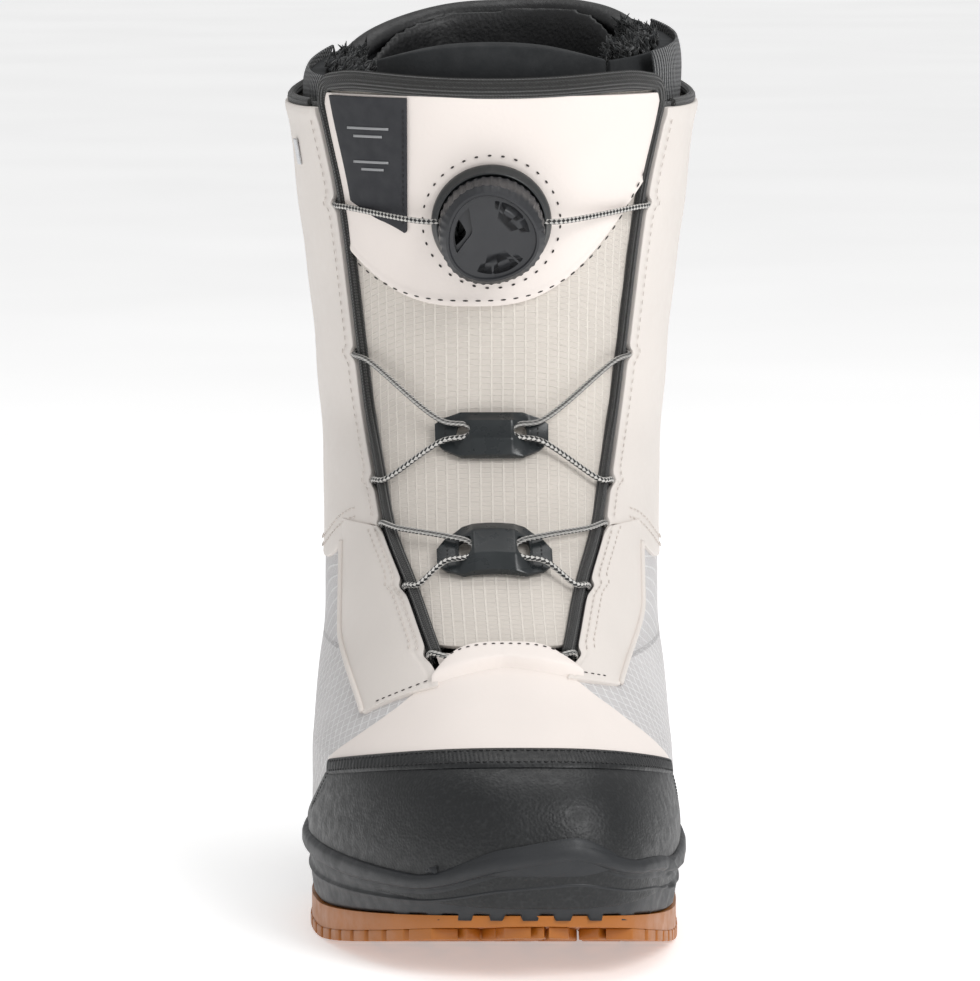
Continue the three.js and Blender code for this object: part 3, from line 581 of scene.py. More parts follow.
def ribbed(name, color, pitch_mm, depth, along=False, roughness=0.85):
    """Webbing or knit: rounded ribs across the cloth, broken into single yarns, with a painted highlight on
    the rib crests.
    """
    p = Paint(name)
    u, v = p.cloth()
    across, run = (v, u) if along else (u, v)
    ribs = p.calc("SINE", p.calc("MULTIPLY", across, math.tau * 1000 / pitch_mm))
    yarns = p.calc("SINE", p.calc("MULTIPLY", run, math.tau * 1000 / (pitch_mm * 0.8)))
    p.bump(ribs, depth, 0.9)
    p.bump(p.calc("MULTIPLY", yarns, ribs), depth * 0.4, 0.7)
    fuzz = p.noise(1800, 3)
    p.bump(fuzz, 0.12, 0.5)
    # Painted highlight: the rib crests are painted lighter than the troughs, broken up by the fuzz.
    light = tuple(c * 1.9 + 0.008 for c in color[:3]) + (1,)
    base = p.blend(p.calc("MULTIPLY", p.between(ribs, -0.2, 1), p.between(fuzz, 0.35, 0.65)), color, light)
    return p.finish(base, roughness, Sheen_Weight=0.3, Sheen_Roughness=0.5)


def foam(name, color, roughness, depth=0.12, light=1.25, scale=1500):
    """Moulded foam or rubber: fine skin texture with a soft, uneven sheen and paler scuffs."""
    p = Paint(name)
    p.bump(p.noise(scale, 3), depth, 0.55)
    p.bump(p.noise(120, 2), depth * 3, 0.2)
    slow = p.between(p.noise(35, 3), 0.3, 0.7)
    pale = tuple(min(c * light, 1) for c in color[:3]) + (1,)
    base = p.blend(slow, color, pale)
    rough = p.between(p.noise(220, 3), 0.3, 0.7, roughness - 0.08, roughness + 0.08)
    return p.finish(base, rough)


PALE_LEATHER = leather("pale_leather", tone(240, 231, 225), 1.5, 0.05, 0.5, 0.95)
SIDE_LEATHER = leather("quarter_leather", tone(226, 219, 213), 1.4, 0.06, 0.52, 0.94)
# The two dark leathers carry a painted highlight on the raised tops of their grain.
DARK_LEATHER = leather("dark_leather", tone(18, 20, 22), 0.9, 0.16, 0.46, 0.7, grain_highlight=0.35)
SOFT_LEATHER = leather("soft_dark_leather", tone(13, 14, 16), 1.1, 0.14, 0.48, 0.75, grain_highlight=0.2)
TONGUE_CLOTH = ripstop("tongue_ripstop", tone(219, 211, 202), tone(229, 222, 213), 3.7, 2.0, 0.12)
SIDE_CLOTH = ripstop(
    "side_ripstop", tone(206, 203, 203), tone(226, 225, 225), 3.9, 3.9, 0.12, math.radians(45)
)
GUSSET_CLOTH = ripstop("gusset_cloth", tone(60, 60, 62), tone(80, 80, 82), 2.5, 2.5, 0.15)
WEBBING = ribbed("binding_webbing", tone(34, 34, 33), 1.25, 0.25)
KNIT = ribbed("knit", tone(38, 40, 42), 1.9, 0.4)
PLAIN_WEB = ribbed("black_webbing", tone(26, 27, 28), 1.0, 0.18)
MIDSOLE_FOAM = foam("midsole_foam", tone(29, 31, 34), 0.5, 0.09, 1.3)
GUM = foam("gum_rubber", tone(158, 92, 20), 0.42, 0.07, 1.2, 900)
DIAL_PLASTIC = foam("dial_plastic", tone(40, 41, 44), 0.4, 0.04, 1.15, 2200)
# The disc of the works is dark plastic, painted near black as the shade seen through the knob's windows.
DIAL_WORKS_SHADE = foam("dial_works_painted_shade", tone(9, 9, 10), 0.5, 0.03, 1.3, 2200)
DIAL_DARK = foam("dial_inner_plastic", tone(38, 41, 42), 0.36, 0.03, 1.3, 2200)
GUIDE_PLASTIC = foam("guide_plastic", tone(30, 34, 36), 0.3, 0.04, 1.3, 1200)
CLEAR_PLASTIC = foam("stiff_plastic", tone(205, 202, 196), 0.35, 0.03, 0.92)
LINER = foam("liner_foam", tone(28, 30, 32), 0.85, 0.3, 1.4, 700)
BOARD = foam("board_fibre", tone(186, 166, 130), 0.85, 0.2, 0.85, 500)
LABEL = foam("label_cloth", tone(43, 44, 48), 0.75, 0.08, 1.1, 2600)
PRINT = foam("label_print", tone(150, 151, 153), 0.7, 0.03, 0.95)
PALE_THREAD = foam("pale_thread", tone(214, 206, 199), 0.7, 0.08, 0.9, 4000)
DARK_THREAD = foam("dark_thread", tone(52, 48, 46), 0.7, 0.08, 1.3, 4000)
BLACK_THREAD = foam("black_thread", tone(26, 26, 27), 0.6, 0.08, 1.5, 4000)
print(len(bpy.data.materials), "materials so far")

# %% [markdown]
# ## Metal, fleece and braid
# The lace is braided from dark and pale yarns. Each yarn could be modelled, but on a cord two
# millimetres thick a pattern is enough: two families of slanted bands cross, and a pale yarn shows
# where just one of them lies on top. Fleece is a matt, tousled surface under the tufts.

# %% Metal, fleece and braid
steel_paint = Paint("brushed_steel")
brushed = steel_paint.noise(900, 2)
steel_paint.bump(brushed, 0.03, 0.5)
STEEL = steel_paint.finish(
    steel_paint.blend(steel_paint.between(brushed, 0.3, 0.7), tone(190, 192, 195), tone(214, 215, 217)),
    steel_paint.between(brushed, 0.3, 0.7, 0.22, 0.38), Metallic=0.95,
)

fleece_paint = Paint("fleece")
curls = fleece_paint.cells(420)
fleece_paint.bump(fleece_paint.noise(260, 5, 0.7), 1.4, 0.9)
fleece_paint.bump(curls, 0.7, 0.7)
FLEECE = fleece_paint.finish(
    fleece_paint.blend(fleece_paint.between(curls, 0.1, 0.7), tone(36, 39, 41), tone(20, 22, 23)),
    0.95, Sheen_Weight=0.25, Sheen_Roughness=0.5,
)

braid_paint = Paint("braid")
round_way, run_way = braid_paint.cloth()
turns = braid_paint.calc("MULTIPLY", round_way, 1000 / 5.65)
pairs = braid_paint.calc("MULTIPLY", run_way, 1000 / 3.2)
twice = braid_paint.calc("MULTIPLY", turns, 2)
crossing = [braid_paint.calc("FRACT", braid_paint.calc(way, pairs, twice)) for way in ("ADD", "SUBTRACT")]
yarn = braid_paint.calc("SINE", braid_paint.calc("MULTIPLY", crossing[0], math.tau * 2))
braid_paint.bump(yarn, 0.12, 0.8)
rights, lefts = [braid_paint.calc("GREATER_THAN", way, 0.5) for way in crossing]
checks = braid_paint.calc("ABSOLUTE", braid_paint.calc("SUBTRACT", rights, lefts))
BRAID = braid_paint.finish(
    braid_paint.blend(checks, tone(34, 34, 35), tone(205, 203, 199)),
    0.55,
)
print(len(bpy.data.materials), "materials")

# %% [markdown]
# ## Midsole
# The midsole is the foam wall that carries the foot. A box with a bevel would miss its layers, so
# one profile is taken in a closed turn round the boot. The profile has a thick upper lip, a slanted
# face and a lower band, all measured between the foot of the foam, which climbs at the toe, and its
# rim, which dips and swells across the front. Small teeth reach down over the gum at the toe.

# %% Midsole
def spring_at(y):
    return 15 * np.clip((-64 - y) / 87, 0, 1.05) ** 1.3


around = np.linspace(0, 360, 1441)
outline = last_point(np.full(1441, 30.0), around)
walk = np.concatenate([[0], np.cumsum(np.linalg.norm(np.diff(outline, axis=0), axis=1))])


def angle_along(u):
    """Equal steps of u are equal distances round the boot."""
    return np.interp(np.clip(u, 0, 1) * walk[-1], walk, around)


def rim_height(points):
    front = step(-95, -135, points[:, 1])
    x = points[:, 0]
    swell = 8.5 * step(-24, 4, x) * step(46, 24, x)
    return 32.0 + front * (5.0 * step(-10, 30, x) + swell) + 7.2 * step(-20, 90, points[:, 1])


def foot_height(points):
    return 11.1 + 0.72 * spring_at(points[:, 1])


# Each row is a share of the wall's height and a distance out from the last.
MIDSOLE_FACE = np.array([
    [0.0, -4.0], [0.0, -1.2], [0.02, -0.4], [0.07, 0.1], [0.2, 0.4], [0.36, 0.7], [0.39, 1.3], [0.41, 1.2],
    [0.44, 0.5], [0.5, 0.4], [0.57, 0.9], [0.64, 1.3], [0.675, 1.1], [0.70, 1.9], [0.73, 2.8], [0.8, 3.1],
    [0.9, 3.0], [0.96, 2.5], [0.99, 1.7], [1.0, 1.0], [1.0, -0.3], [0.8, -0.6], [0.5, -0.6],
])
ROWS_MIDSOLE = len(MIDSOLE_FACE) + 1


def place_midsole(u, v):
    k = np.round(v * ROWS_MIDSOLE).astype(int) - 1
    axis = (k < 0) | (k >= len(MIDSOLE_FACE))
    share, off = MIDSOLE_FACE[np.clip(k, 0, len(MIDSOLE_FACE) - 1)].T
    phi = angle_along(u)
    base = last_point(np.full(len(u), 30.0), phi)
    low, high = foot_height(base), rim_height(base)
    calm = step(0, 90, base[:, 1])
    share = share + 0.05 * np.sin(np.radians(phi) * 3) * (1 - calm) * (share > 0.25) * (share < 0.75)
    z = low + share * (high - low)
    side = 0.8 * hump(base[:, 0], 57, 5) * step(-60, -110, base[:, 1])
    ribs = side * np.sin(z * 2.4) * (share > 0.05)
    teeth = step(-120, -128, base[:, 1]) * (np.sin(base[:, 0] * 0.62 + 0.6) > 0.1) * (share < 0.01)
    points = on_last(np.maximum(z, 14), phi, off + ribs + teeth * (k > 0) * 1.2)
    points[:, 2] = z - teeth * 1.7
    middle = np.stack([0 * u, 0 * u, np.where(k < 0, 11.2, 20.0)], axis=1)
    return np.where(axis[:, None], middle, points)


midsole = lay("midsole_shell", 760, ROWS_MIDSOLE, place_midsole, closed=True)
wear(midsole, "shell", MIDSOLE_FOAM, ["midsole"])

bumper = lay(
    "toe_bumper_skin", 90, 14,
    lambda u, v: at_x(
        mix(-19, 45, u), mix(34, rim_height(at_x(mix(-19, 45, u), 36)) + 0.3, v),
        3.3 - 2.0 * (1 - v) ** 2 - 3 * np.abs(2 * u - 1) ** 4 - 1.2 * v**4,
    ),
)
finish_edges(bumper, 1.6, 0.4)
wear(bumper, "shell", MIDSOLE_FOAM, ["toe_bumper"])
print("midsole", len(midsole.data.polygons), "faces")

# %% [markdown]
# ## Gum outsole
# Gum rubber under the foam grips snow and ice, in one plate under the forefoot and one under the
# heel. Lugs could be cut out of a thick slab, but adding them is simpler: they are cubes with
# chamfered edges, laid out flat and then bent up with the toe spring, so they follow the outline.

# %% Gum outsole
def sole_side(y, z=18.0):
    """Middle and half width of the sole at each y."""
    y = np.atleast_1d(y)
    low, high = np.zeros(len(y)), np.full(len(y), 180.0)
    for _ in range(22):
        middle = (low + high) / 2
        past = last_point(np.full(len(y), z), middle)[:, 1] > y
        high, low = np.where(past, middle, high), np.where(past, low, middle)
    inner = last_point(np.full(len(y), z), low)[:, 0]
    outer = last_point(np.full(len(y), z), -low)[:, 0]
    return (inner + outer) / 2, (inner - outer) / 2


LUG_DEEP = 3.6
FLAT_WIDE = 110  # the sole's width while the lugs are laid out


def sole_plate(name, from_y, to_y):
    def place(u, v, w):
        y = mix(from_y, to_y, v)
        centre, half = sole_side(y)
        lift = spring_at(y)
        foot = 11.0 + 0.72 * lift
        return np.stack([centre + (2 * u - 1) * (half + 0.4), y, mix(lift + LUG_DEEP, foot, w)], axis=1)

    made = block(name, 16, 44, 1, place)
    finish_edges(made, 0, 0.5)
    return made


def lug_field(name, from_y, to_y, pitch, skip):
    """Rows of slanted lugs across the sole, with a straight one at each edge."""
    form = bmesh.new()
    rows = int(abs(to_y - from_y) / pitch)
    for row in range(rows):
        y = mix(from_y, to_y, (row + 0.5) / rows)
        for column in range(-3, 4):
            if skip(row, column):
                continue
            edge = abs(column) == 3
            wide, deep = (0.135 if edge else 0.118), pitch * (0.84 if edge else 0.7)
            slant = 0 if edge else (0.35 if column * (-1) ** row > 0 else -0.35)
            turn = Matrix.Rotation(slant, 4, "Z")
            size = Matrix.Diagonal((wide * FLAT_WIDE, deep, LUG_DEEP, 1))
            stagger = 0 if edge else 0.5 * (row % 2)
            at = Matrix.Translation((column * 0.146 * FLAT_WIDE, y + stagger, LUG_DEEP / 2))
            bmesh.ops.create_cube(form, size=1, matrix=at @ turn @ size)
    bmesh.ops.bevel(
        form, geom=[*form.edges], offset=0.45, segments=2, profile=0.5, affect="EDGES", material=-1
    )
    flat = np.array([v.co for v in form.verts])
    centre, half = sole_side(np.clip(flat[:, 1], -149.5, 144.5))
    flat[:, 0] = centre + flat[:, 0] / (FLAT_WIDE / 2) * (half + 0.2)
    flat[:, 2] += spring_at(flat[:, 1])
    for vertex, point in zip(form.verts, to_frame(flat)):
        vertex.co = point
    return as_object(form, name)


forefoot_plate = sole_plate("forefoot_plate", -150.3, 18)
wear(forefoot_plate, "shell", GUM, ["outsole_forefoot"])
heel_plate = sole_plate("heel_plate", 36, 144.8)
wear(heel_plate, "shell", GUM, ["outsole_heel"])
front_lugs = lug_field(
    "forefoot_lugs", -148.5, 17, 9.2, lambda r, c: (r == 0 and abs(c) > 1) or (r > 15 and c == 0)
)
wear(front_lugs, "shell", GUM)
heel_lugs = lug_field("heel_lugs", 37, 143.5, 9.6, lambda r, c: r > 9 and abs(c) > 2)
wear(heel_lugs, "shell", GUM)
print("lugs", len(front_lugs.data.polygons) + len(heel_lugs.data.polygons), "faces")

# %% [markdown]
# ## Toe cap
# The toe cap is dark grained leather that takes the knocks, with a folded band along its top edge and
# two rows of stitches. It could be cut from the vamp's surface, but a panel of its own gives it a
# real edge and thickness. The folds of the band are a fine ripple along its length.

# %% Toe cap
CAP_ANGLE, CAP_FOOT = 60, 24


def cap_top(phi):
    return 69.5 - 11.5 * (phi / CAP_ANGLE) ** 2


def cap_reach(v):
    """How much wider round the toe the cap runs at its foot than at its top edge."""
    return 1 + 0.42 * (1 - v) ** 1.2


def place_cap(u, v):
    phi = mix(-CAP_ANGLE, CAP_ANGLE, u)
    z = mix(CAP_FOOT, cap_top(phi) - 0.6, v)
    phi = phi * cap_reach(v)
    dent = 0.5 * hump(v, 0.93, 0.035) + 0.35 * hump(u, 0.02, 0.02)
    return on_last(z, phi, 0.6 - dent + 0.8 * hump(v, 0.35, 0.25))


toe_cap = lay("toe_cap_skin", 150, 40, place_cap)
finish_edges(toe_cap, 2.2, 0.4)
wear(toe_cap, "shell", DARK_LEATHER, ["toe_cap"])


def place_cap_band(u, v):
    phi = mix(-CAP_ANGLE, CAP_ANGLE, u)
    z = cap_top(phi) - mix(4.6, -0.1, v)
    folds = 0.09 * np.sin(u * 620) * (1 - (2 * v - 1) ** 2)
    return on_last(z, phi, 0.5 + 0.75 * np.sqrt(np.clip(1 - (2 * v - 1) ** 4, 0, 1)) + folds)


cap_band = lay("toe_cap_band", 420, 10, place_cap_band)
finish_edges(cap_band, 0.9, 0.2)
wear(cap_band, "shell", DARK_LEATHER)
edge_angles = np.linspace(-CAP_ANGLE + 1, CAP_ANGLE - 1, 160)
for number, drop in enumerate((0.9, 3.6)):
    seam_row(
        f"cap_band_stitches_{number}", cap_top(edge_angles) - drop, edge_angles, 1.3, "shell",
        BLACK_THREAD, pitch=2.1, length=1.5, radius=0.34,
    )
for side, word in WORDS:
    share = np.linspace(0.2, 0.9, 40)
    rise = mix(CAP_FOOT, float(cap_top(CAP_ANGLE)) - 0.6, share)
    seam_row(
        f"cap_side_stitches_{word}", rise, side * (CAP_ANGLE * cap_reach(share) - 2), 0.9, "shell",
        BLACK_THREAD, pitch=2.3, length=1.5, radius=0.3,
    )

print("toe cap", len(toe_cap.data.polygons), "faces")

# %% [markdown]
# ## Vamp and side panels
# The vamp is one smooth pale panel from the toe cap up to the seam under the throat, and ripstop
# panels fill the sides. The three could share one mesh with three materials, but the real ones
# overlap and have edges, so each is laid on the last by itself and they share one seam line.

# %% Vamp and side panels
SEAM_TOP = 88.2


def seam_angle(z, side):
    top = throat_angle(np.full(1, SEAM_TOP), side, 3)[0]
    low = cap_top(CAP_ANGLE)
    t = np.clip((z - low) / (SEAM_TOP - low), 0, 1)
    above = throat_angle(np.maximum(z, SEAM_TOP), side, 3)
    return np.where(z > SEAM_TOP, above, mix(side * CAP_ANGLE, top, t**1.15))


def place_vamp(u, v):
    low = np.full(len(u), 58.0)
    for _ in range(6):
        across = mix(seam_angle(low, -1), seam_angle(low, 1), u)
        low = cap_top(np.clip(across, -CAP_ANGLE, CAP_ANGLE)) - 1.5
    z = mix(low, 93, v)
    across = mix(seam_angle(z, -1) - 1.5 * (1 - v), seam_angle(z, 1) + 1.5 * (1 - v), u)
    wrinkle = 0.12 * np.sin(z * 0.9 + across * 0.05) * hump(v, 0.75, 0.2)
    return on_last(z, across, 0.15 + wrinkle)


vamp = lay("vamp_skin", 120, 60, place_vamp)
finish_edges(vamp, 2.2, 0.4)
wear(vamp, "shell", PALE_LEATHER, ["vamp"])


def place_side(side):
    def place(u, v):
        z = mix(26, 125.6, v)
        start = np.where(z > SEAM_TOP, throat_angle(z, side, -8), seam_angle(z, side))
        phi = mix(start, side * 105, u)
        return on_last(z, phi, -0.3 + 0.25 * np.sin(u * 3) * np.sin(v * 3))

    return place


for side, word in WORDS:
    panel = lay(f"side_panel_skin_{word}", 90, 70, place_side(side))
    finish_edges(panel, 1.6, 0.3)
    wear(panel, "shell", SIDE_CLOTH, [f"side_panel_{word}"])
print("toe and side panels ready")

# %% [markdown]
# ## Lower quarters
# The lower quarters are smooth overlays from the throat down to the vamp, each with a piped outer
# edge. Their throat edges dip where the lace goes under them. The dips could be cut out with tools,
# but moving the edge itself keeps the grid clean and lets the stitches follow the same line.

# %% Lower quarters
LACE_HEIGHTS = (229.2, 179.3, 139.4, 126.8, 109.8, 91.6)


def throat_edge(z, side, out=0.0):
    """Distance outside the throat line of a quarter's edge, notched where the lace passes."""
    notch = sum(hump(z, height, 1.6) for height in LACE_HEIGHTS)
    return throat_x(z, side, 0.5 - out - 1.5 * np.minimum(notch, 1))


OVERLAY_CORNER = 39.0  # the lower quarter's outer corner, out from the middle


def vamp_seam(x):
    """Height of the seam between the vamp and what lies above it."""
    reach = np.abs(np.asarray(x, float) - 4)
    return 89.5 - np.where(x < 4, 0.0508, 0.033) * reach**1.53


def overlay_reach(z, side):
    """The outer edge of the lower quarter, from the vamp seam up the flank."""
    low = float(vamp_seam(side * OVERLAY_CORNER))
    return side * (OVERLAY_CORNER + 9.2 * step(low - 6, low + 20, z))


def place_lower_quarter(side):
    corner = float(throat_edge(np.array([86.0]), side)[0])

    def place(u, v):
        foot = vamp_seam(mix(corner, side * OVERLAY_CORNER, u)) - 0.4
        z = mix(foot, 126, v)
        x = mix(throat_edge(np.maximum(z, 86), side), overlay_reach(z, side), u)
        bulge = 0.5 * np.clip(np.sin(u * math.pi), 0, 1) ** 0.5 - 0.25 * hump(u, 0.1, 0.03)
        return at_x(x, z, 0.75 + bulge)

    return place


for side, word in WORDS:
    overlay = lay(f"lower_quarter_skin_{word}", 60, 90, place_lower_quarter(side))
    finish_edges(overlay, 1.5, 0.45)
    wear(overlay, "shell", SIDE_LEATHER, [f"lower_quarter_{word}"])
    heights = np.linspace(float(vamp_seam(side * OVERLAY_CORNER)), 119, 90)
    points = at_x(overlay_reach(heights, side), heights, 1.0)
    piping = tube(f"quarter_piping_{word}", resample(points, 0.8), oval(0.95, 0.95), 10)
    wear(piping, "shell", SIDE_LEATHER)

print("lower quarters end", round(float(vamp_seam(OVERLAY_CORNER)), 1), "mm up")

# %% [markdown]
# ## Upper quarters
# The upper quarters wrap the ankle and carry the pull of the lace up to the cuff. Sculpting would
# give their soft creases, but two crossed waves do it in one line and stay the same on every run.
# One row of stitches follows the throat edge, with a second row beside it on the lower quarter.

# %% Upper quarters
QUARTER_BACK = 165.6  # the angle of the edge under the backstay


def cuff_top(phi):
    return 261.5 + 20.5 * np.sin(np.radians(np.minimum(np.abs(phi), 180)) / 2) ** 8


def quarter_foot(phi):
    flank = np.abs(phi)
    return 126.3 - 15 * step(48, 92, flank) * step(150, 118, flank)


def place_upper_quarter(side):
    def place(u, v):
        reach = mix(45, QUARTER_BACK, u)
        z = mix(quarter_foot(reach), cuff_top(reach) - 0.8, v)
        start = angle_at(z, throat_edge(z, side))
        phi = mix(start, side * QUARTER_BACK, u)
        crease = 0.35 * np.sin(z * 0.16 + u * 9) * np.sin(u * 7 + z * 0.05) * step(0.05, 0.2, u)
        roll = 0.5 * hump(v, 0.985, 0.02)
        return on_last(z, phi, 0.55 + crease + roll - 0.22 * hump(u, 0.03, 0.01))

    return place


for side, word in WORDS:
    quarter = lay(f"upper_quarter_skin_{word}", 150, 150, place_upper_quarter(side))
    finish_edges(quarter, 2.4, 0.5)
    wear(quarter, "shell", SIDE_LEATHER, [f"upper_quarter_{word}"])
    for number, out in enumerate((2.0, 4.4)):
        for part, (low, high) in enumerate(((92, 125), (128, 258))[:2 - number]):
            heights = np.linspace(low, high, 240)
            phi = angle_at(heights, throat_edge(heights, side, out))
            seam_row(
                f"throat_stitches_{word}_{number}_{part}", heights, phi, 1.05 if part else 1.35,
                "shell", PALE_THREAD, pitch=2.9, length=1.8, radius=0.28,
            )
    flank = side * np.linspace(52, 102, 80)
    for number, rise in enumerate((1.6, 4.2)):
        seam_row(
            f"flank_stitches_{word}_{number}", quarter_foot(flank) + rise, flank, 0.95, "shell",
            PALE_THREAD, pitch=2.9, length=1.8, radius=0.28,
        )

print("cuff stands", round(float(cuff_top(180)), 1), "mm high at the back")

# %% [markdown]
# ## Throat trim and tab
# Black webbing binds the edge of the throat, and a pale arched tab closes its foot. The tab could
# lie flat on the vamp, but the tongue swings out past it, so it rises a little from its seam.

# %% Throat trim and tab
for side, word in WORDS:
    def place_trim(u, v, side=side):
        z = mix(91, 262, v)
        return at_x(throat_x(z, side, mix(1.4, -7, u)), z, -1.3)

    trim = lay(f"throat_trim_{word}", 6, 170, place_trim)
    finish_edges(trim, 0.9, 0.2)
    wear(trim, "shell", PLAIN_WEB, [f"throat_facing_{word}"])


def tab_arch(u):
    return 94.3 - 3.4 * np.abs(2 * u - 1) ** 3.2


def place_tab(u, v):
    x = mix(mix(-19.5, 30, u), mix(-12.5, 21, u), v)
    z = mix(vamp_seam(x) - 0.4, tab_arch(u), v)
    crown = np.clip(1 - (2 * u - 1) ** 6, 0, 1) ** 0.5
    return at_x(x, z, mix(-1.4, 2.7, step(0, 0.3, v)) + crown * step(0, 0.4, v))


tab = lay("throat_tab_skin", 70, 24, place_tab)
finish_edges(tab, 1.1, 0.3)
wear(tab, "shell", PALE_LEATHER, ["throat_tab"])
tab_u = np.linspace(0.02, 0.98, 90)
tab_path = place_tab(tab_u, np.full(90, 0.88))
tab_out = at_x(tab_path[:, 0], tab_path[:, 2], 3) - at_x(tab_path[:, 0], tab_path[:, 2], 0)
stitches(
    "tab_stitches", tab_path + tab_out * 0.06, tab_out, "shell", DARK_THREAD,
    pitch=2.7, length=1.3, radius=0.26,
)
seam_x = np.linspace(-36, 36, 150)
seam_z = vamp_seam(seam_x) + 1.5
seam_row(
    "vamp_seam_stitches", seam_z, angle_at(seam_z, seam_x), 1.35, "shell", DARK_THREAD,
    pitch=2.8, length=1.6, radius=0.24,
)
print("quarters ready")

# %% [markdown]
# ## Tongue
# The tongue swings forward on its foot to let the foot in. It is a ripstop panel, and a smooth plate
# covers its upper half and carries the dial. One mesh with a painted seam could stand for both, but
# the plate's curved lower edge casts a small shadow, so it is a panel of its own with dark stitches.

# %% Tongue panel and plate
def tongue_top(x):
    return 275.5 - 4 * (1 - (x / 50) ** 2)


def place_tongue(u, v):
    side = 2 * u - 1
    z = mix(95.4, tongue_top(side * 50) - 3.5 - 6 * np.abs(side) ** 12, v)
    half, centre = throat(z)
    puff = 0.5 * np.sin(np.clip(u, 0, 1) * math.pi) ** 0.4
    return at_x(centre + side * (half - 3.2), z, -0.9 + puff + 0.12 * np.sin(z * 0.35) * np.sin(u * 8))


tongue_panel = lay("tongue_panel", 90, 150, place_tongue)
finish_edges(tongue_panel, 1.6, 0.3)
wear(tongue_panel, "tongue", TONGUE_CLOTH, ["tongue_body"])


def plate_foot(x):
    return 197.3 + 17 * (np.abs(x + 7) / 41) ** 2.9


PLATE_TOP, PLATE_INSET = 266, 4.4
SEAM_RING, SEAM_RING_HEIGHT = 21.8, 225.2


def place_plate(u, v):
    foot_half = throat(np.full(len(u), 235.0))[0] - PLATE_INSET
    foot = plate_foot((2 * u - 1) * foot_half)
    z = mix(np.minimum(foot, 250), PLATE_TOP, v)
    x = (2 * u - 1) * (throat(z)[0] - PLATE_INSET)
    ridge = 0.45 * hump(v, 0.02, 0.02)
    soft = 0.35 * np.sin(u * 11 + z * 0.05) * np.sin(z * 0.09) * step(0, 0.2, v)
    return at_x(x, z, 1.1 + ridge + soft * 0.6)


plate = lay("tongue_plate_skin", 110, 80, place_plate)
finish_edges(plate, 1.1, 0.35)
wear(plate, "tongue", PALE_LEATHER, ["tongue_plate"])
edge_x = np.linspace(-45.5, 49, 220)
edge_z = plate_foot(edge_x) + 1.9
seam_row(
    "plate_seam", edge_z, angle_at(edge_z, edge_x), 1.5, "tongue", DARK_THREAD,
    pitch=4.1, length=1.9, radius=0.3,
)
turn = np.linspace(0, math.tau, 200)
ring_z, ring_x = SEAM_RING_HEIGHT + SEAM_RING * np.sin(turn), SEAM_RING * np.cos(turn)
seam_row(
    "dial_seam", ring_z, angle_at(ring_z, ring_x), 1.35, "tongue", DARK_THREAD,
    pitch=4.3, length=1.3, radius=0.36,
)
print("tongue panel", len(tongue_panel.data.polygons), "faces")

# %% [markdown]
# ## Ribbed binding
# A strip of ribbed webbing is folded over the tongue's rim, up both edges and over the top. A bevel
# would round the rim without the ribs, so a tube with a ribbed section runs along the rim instead.
# It is wider where it folds over the top.

# %% Ribbed binding
def binding_line():
    low, high = 92.5, 263
    left = [at_x(throat_x(z, -1, 3.4)[0], z, 0.2)[0] for z in np.linspace(low, high, 26)]
    over = []
    for t in np.linspace(-0.97, 0.97, 23):
        x = t * 55
        over.append(at_x(x, tongue_top(x * 0.9) - 3.2 - 4.5 * abs(t) ** 9, 0.3)[0])
    right = [at_x(throat_x(z, 1, 3.4)[0], z, 0.2)[0] for z in np.linspace(high, low, 26)]
    return resample(smooth_path([*left, *over, *right], 6), 1.1)


line = binding_line()
line_normals = on_last(line[:, 2], angle_at(line[:, 2], line[:, 0]), 3) - last_point(
    line[:, 2], angle_at(line[:, 2], line[:, 0])
)


def binding_section(a, t):
    top = step(0.36, 0.42, t) * step(0.64, 0.58, t)
    return ribbed_oval(1.7 + 1.7 * top, 1.75, a)


binding = tube("tongue_binding_web", line, binding_section, 48, line_normals)
wear(binding, "tongue", WEBBING, ["tongue_binding"])
print("binding", len(line), "stops long")

# %% [markdown]
# ## Label
# A dark woven patch is sewn beside the dial, with a stitched edge. Its print could be a picture, but
# a few plain raised bars are enough to read as print. It carries no words.

# %% Label
def label_left(z):
    return np.maximum(-throat(z)[0] + 7.2, -52 + 22 * np.clip(236 - z, 0, 20) / 14)


def place_label(u, v):
    z = mix(221 + 5 * (1 - u) ** 2 + 1.2 * u**6, 265.5, v)
    return at_x(mix(label_left(z), -26.5, u), z, 2.1 + 0.15 * hump(u, 0.06, 0.03))


label = lay("label_patch", 34, 60, place_label)
finish_edges(label, 0.6, 0.2)
wear(label, "tongue", LABEL, ["info_label"])
for number, (x, z, long) in enumerate(
    ((-38.5, 255, 13), (-38.5, 252.4, 9), (-37.5, 244, 11), (-37, 241.6, 7))
):
    bar = lay(
        f"label_bar_{number}", 12, 2,
        lambda u, v, x=x, z=z, long=long: at_x(mix(x - long / 2, x + long / 2, u), z + 0.8 * v, 2.35),
    )
    finish_edges(bar, 0.15, 0)
    wear(bar, "tongue", PRINT)
border_z = np.linspace(224, 263, 60)
seam_row(
    "label_stitches_right", border_z, angle_at(border_z, -27.6), 2.3, "tongue", BLACK_THREAD,
    pitch=2, length=1.4, radius=0.2,
)
print("tongue ready")

# %% [markdown]
# ## Lace guides
# Each guide is a moulded bar with side tabs that are sewn to the tongue. The lace turns round behind
# the bar and shows through an opening at each end. The openings could be modelled into the grid, but
# cutting them with a tool leaves the bar's smooth form alone.

# %% Lace guides
def carve(piece, tool):
    """Cuts the tool out of the piece and removes the tool."""
    cut = piece.modifiers.new("windows", "BOOLEAN")
    cut.operation, cut.object, cut.solver = "DIFFERENCE", tool, "EXACT"
    cut.use_self = True
    graph = bpy.context.evaluated_depsgraph_get()
    carved = bpy.data.meshes.new_from_object(piece.evaluated_get(graph))
    piece.modifiers.clear()
    piece.data = carved
    bpy.data.objects.remove(tool, do_unlink=True)


GUIDE_HALF = 17.8  # from a guide's middle to the end of its tab


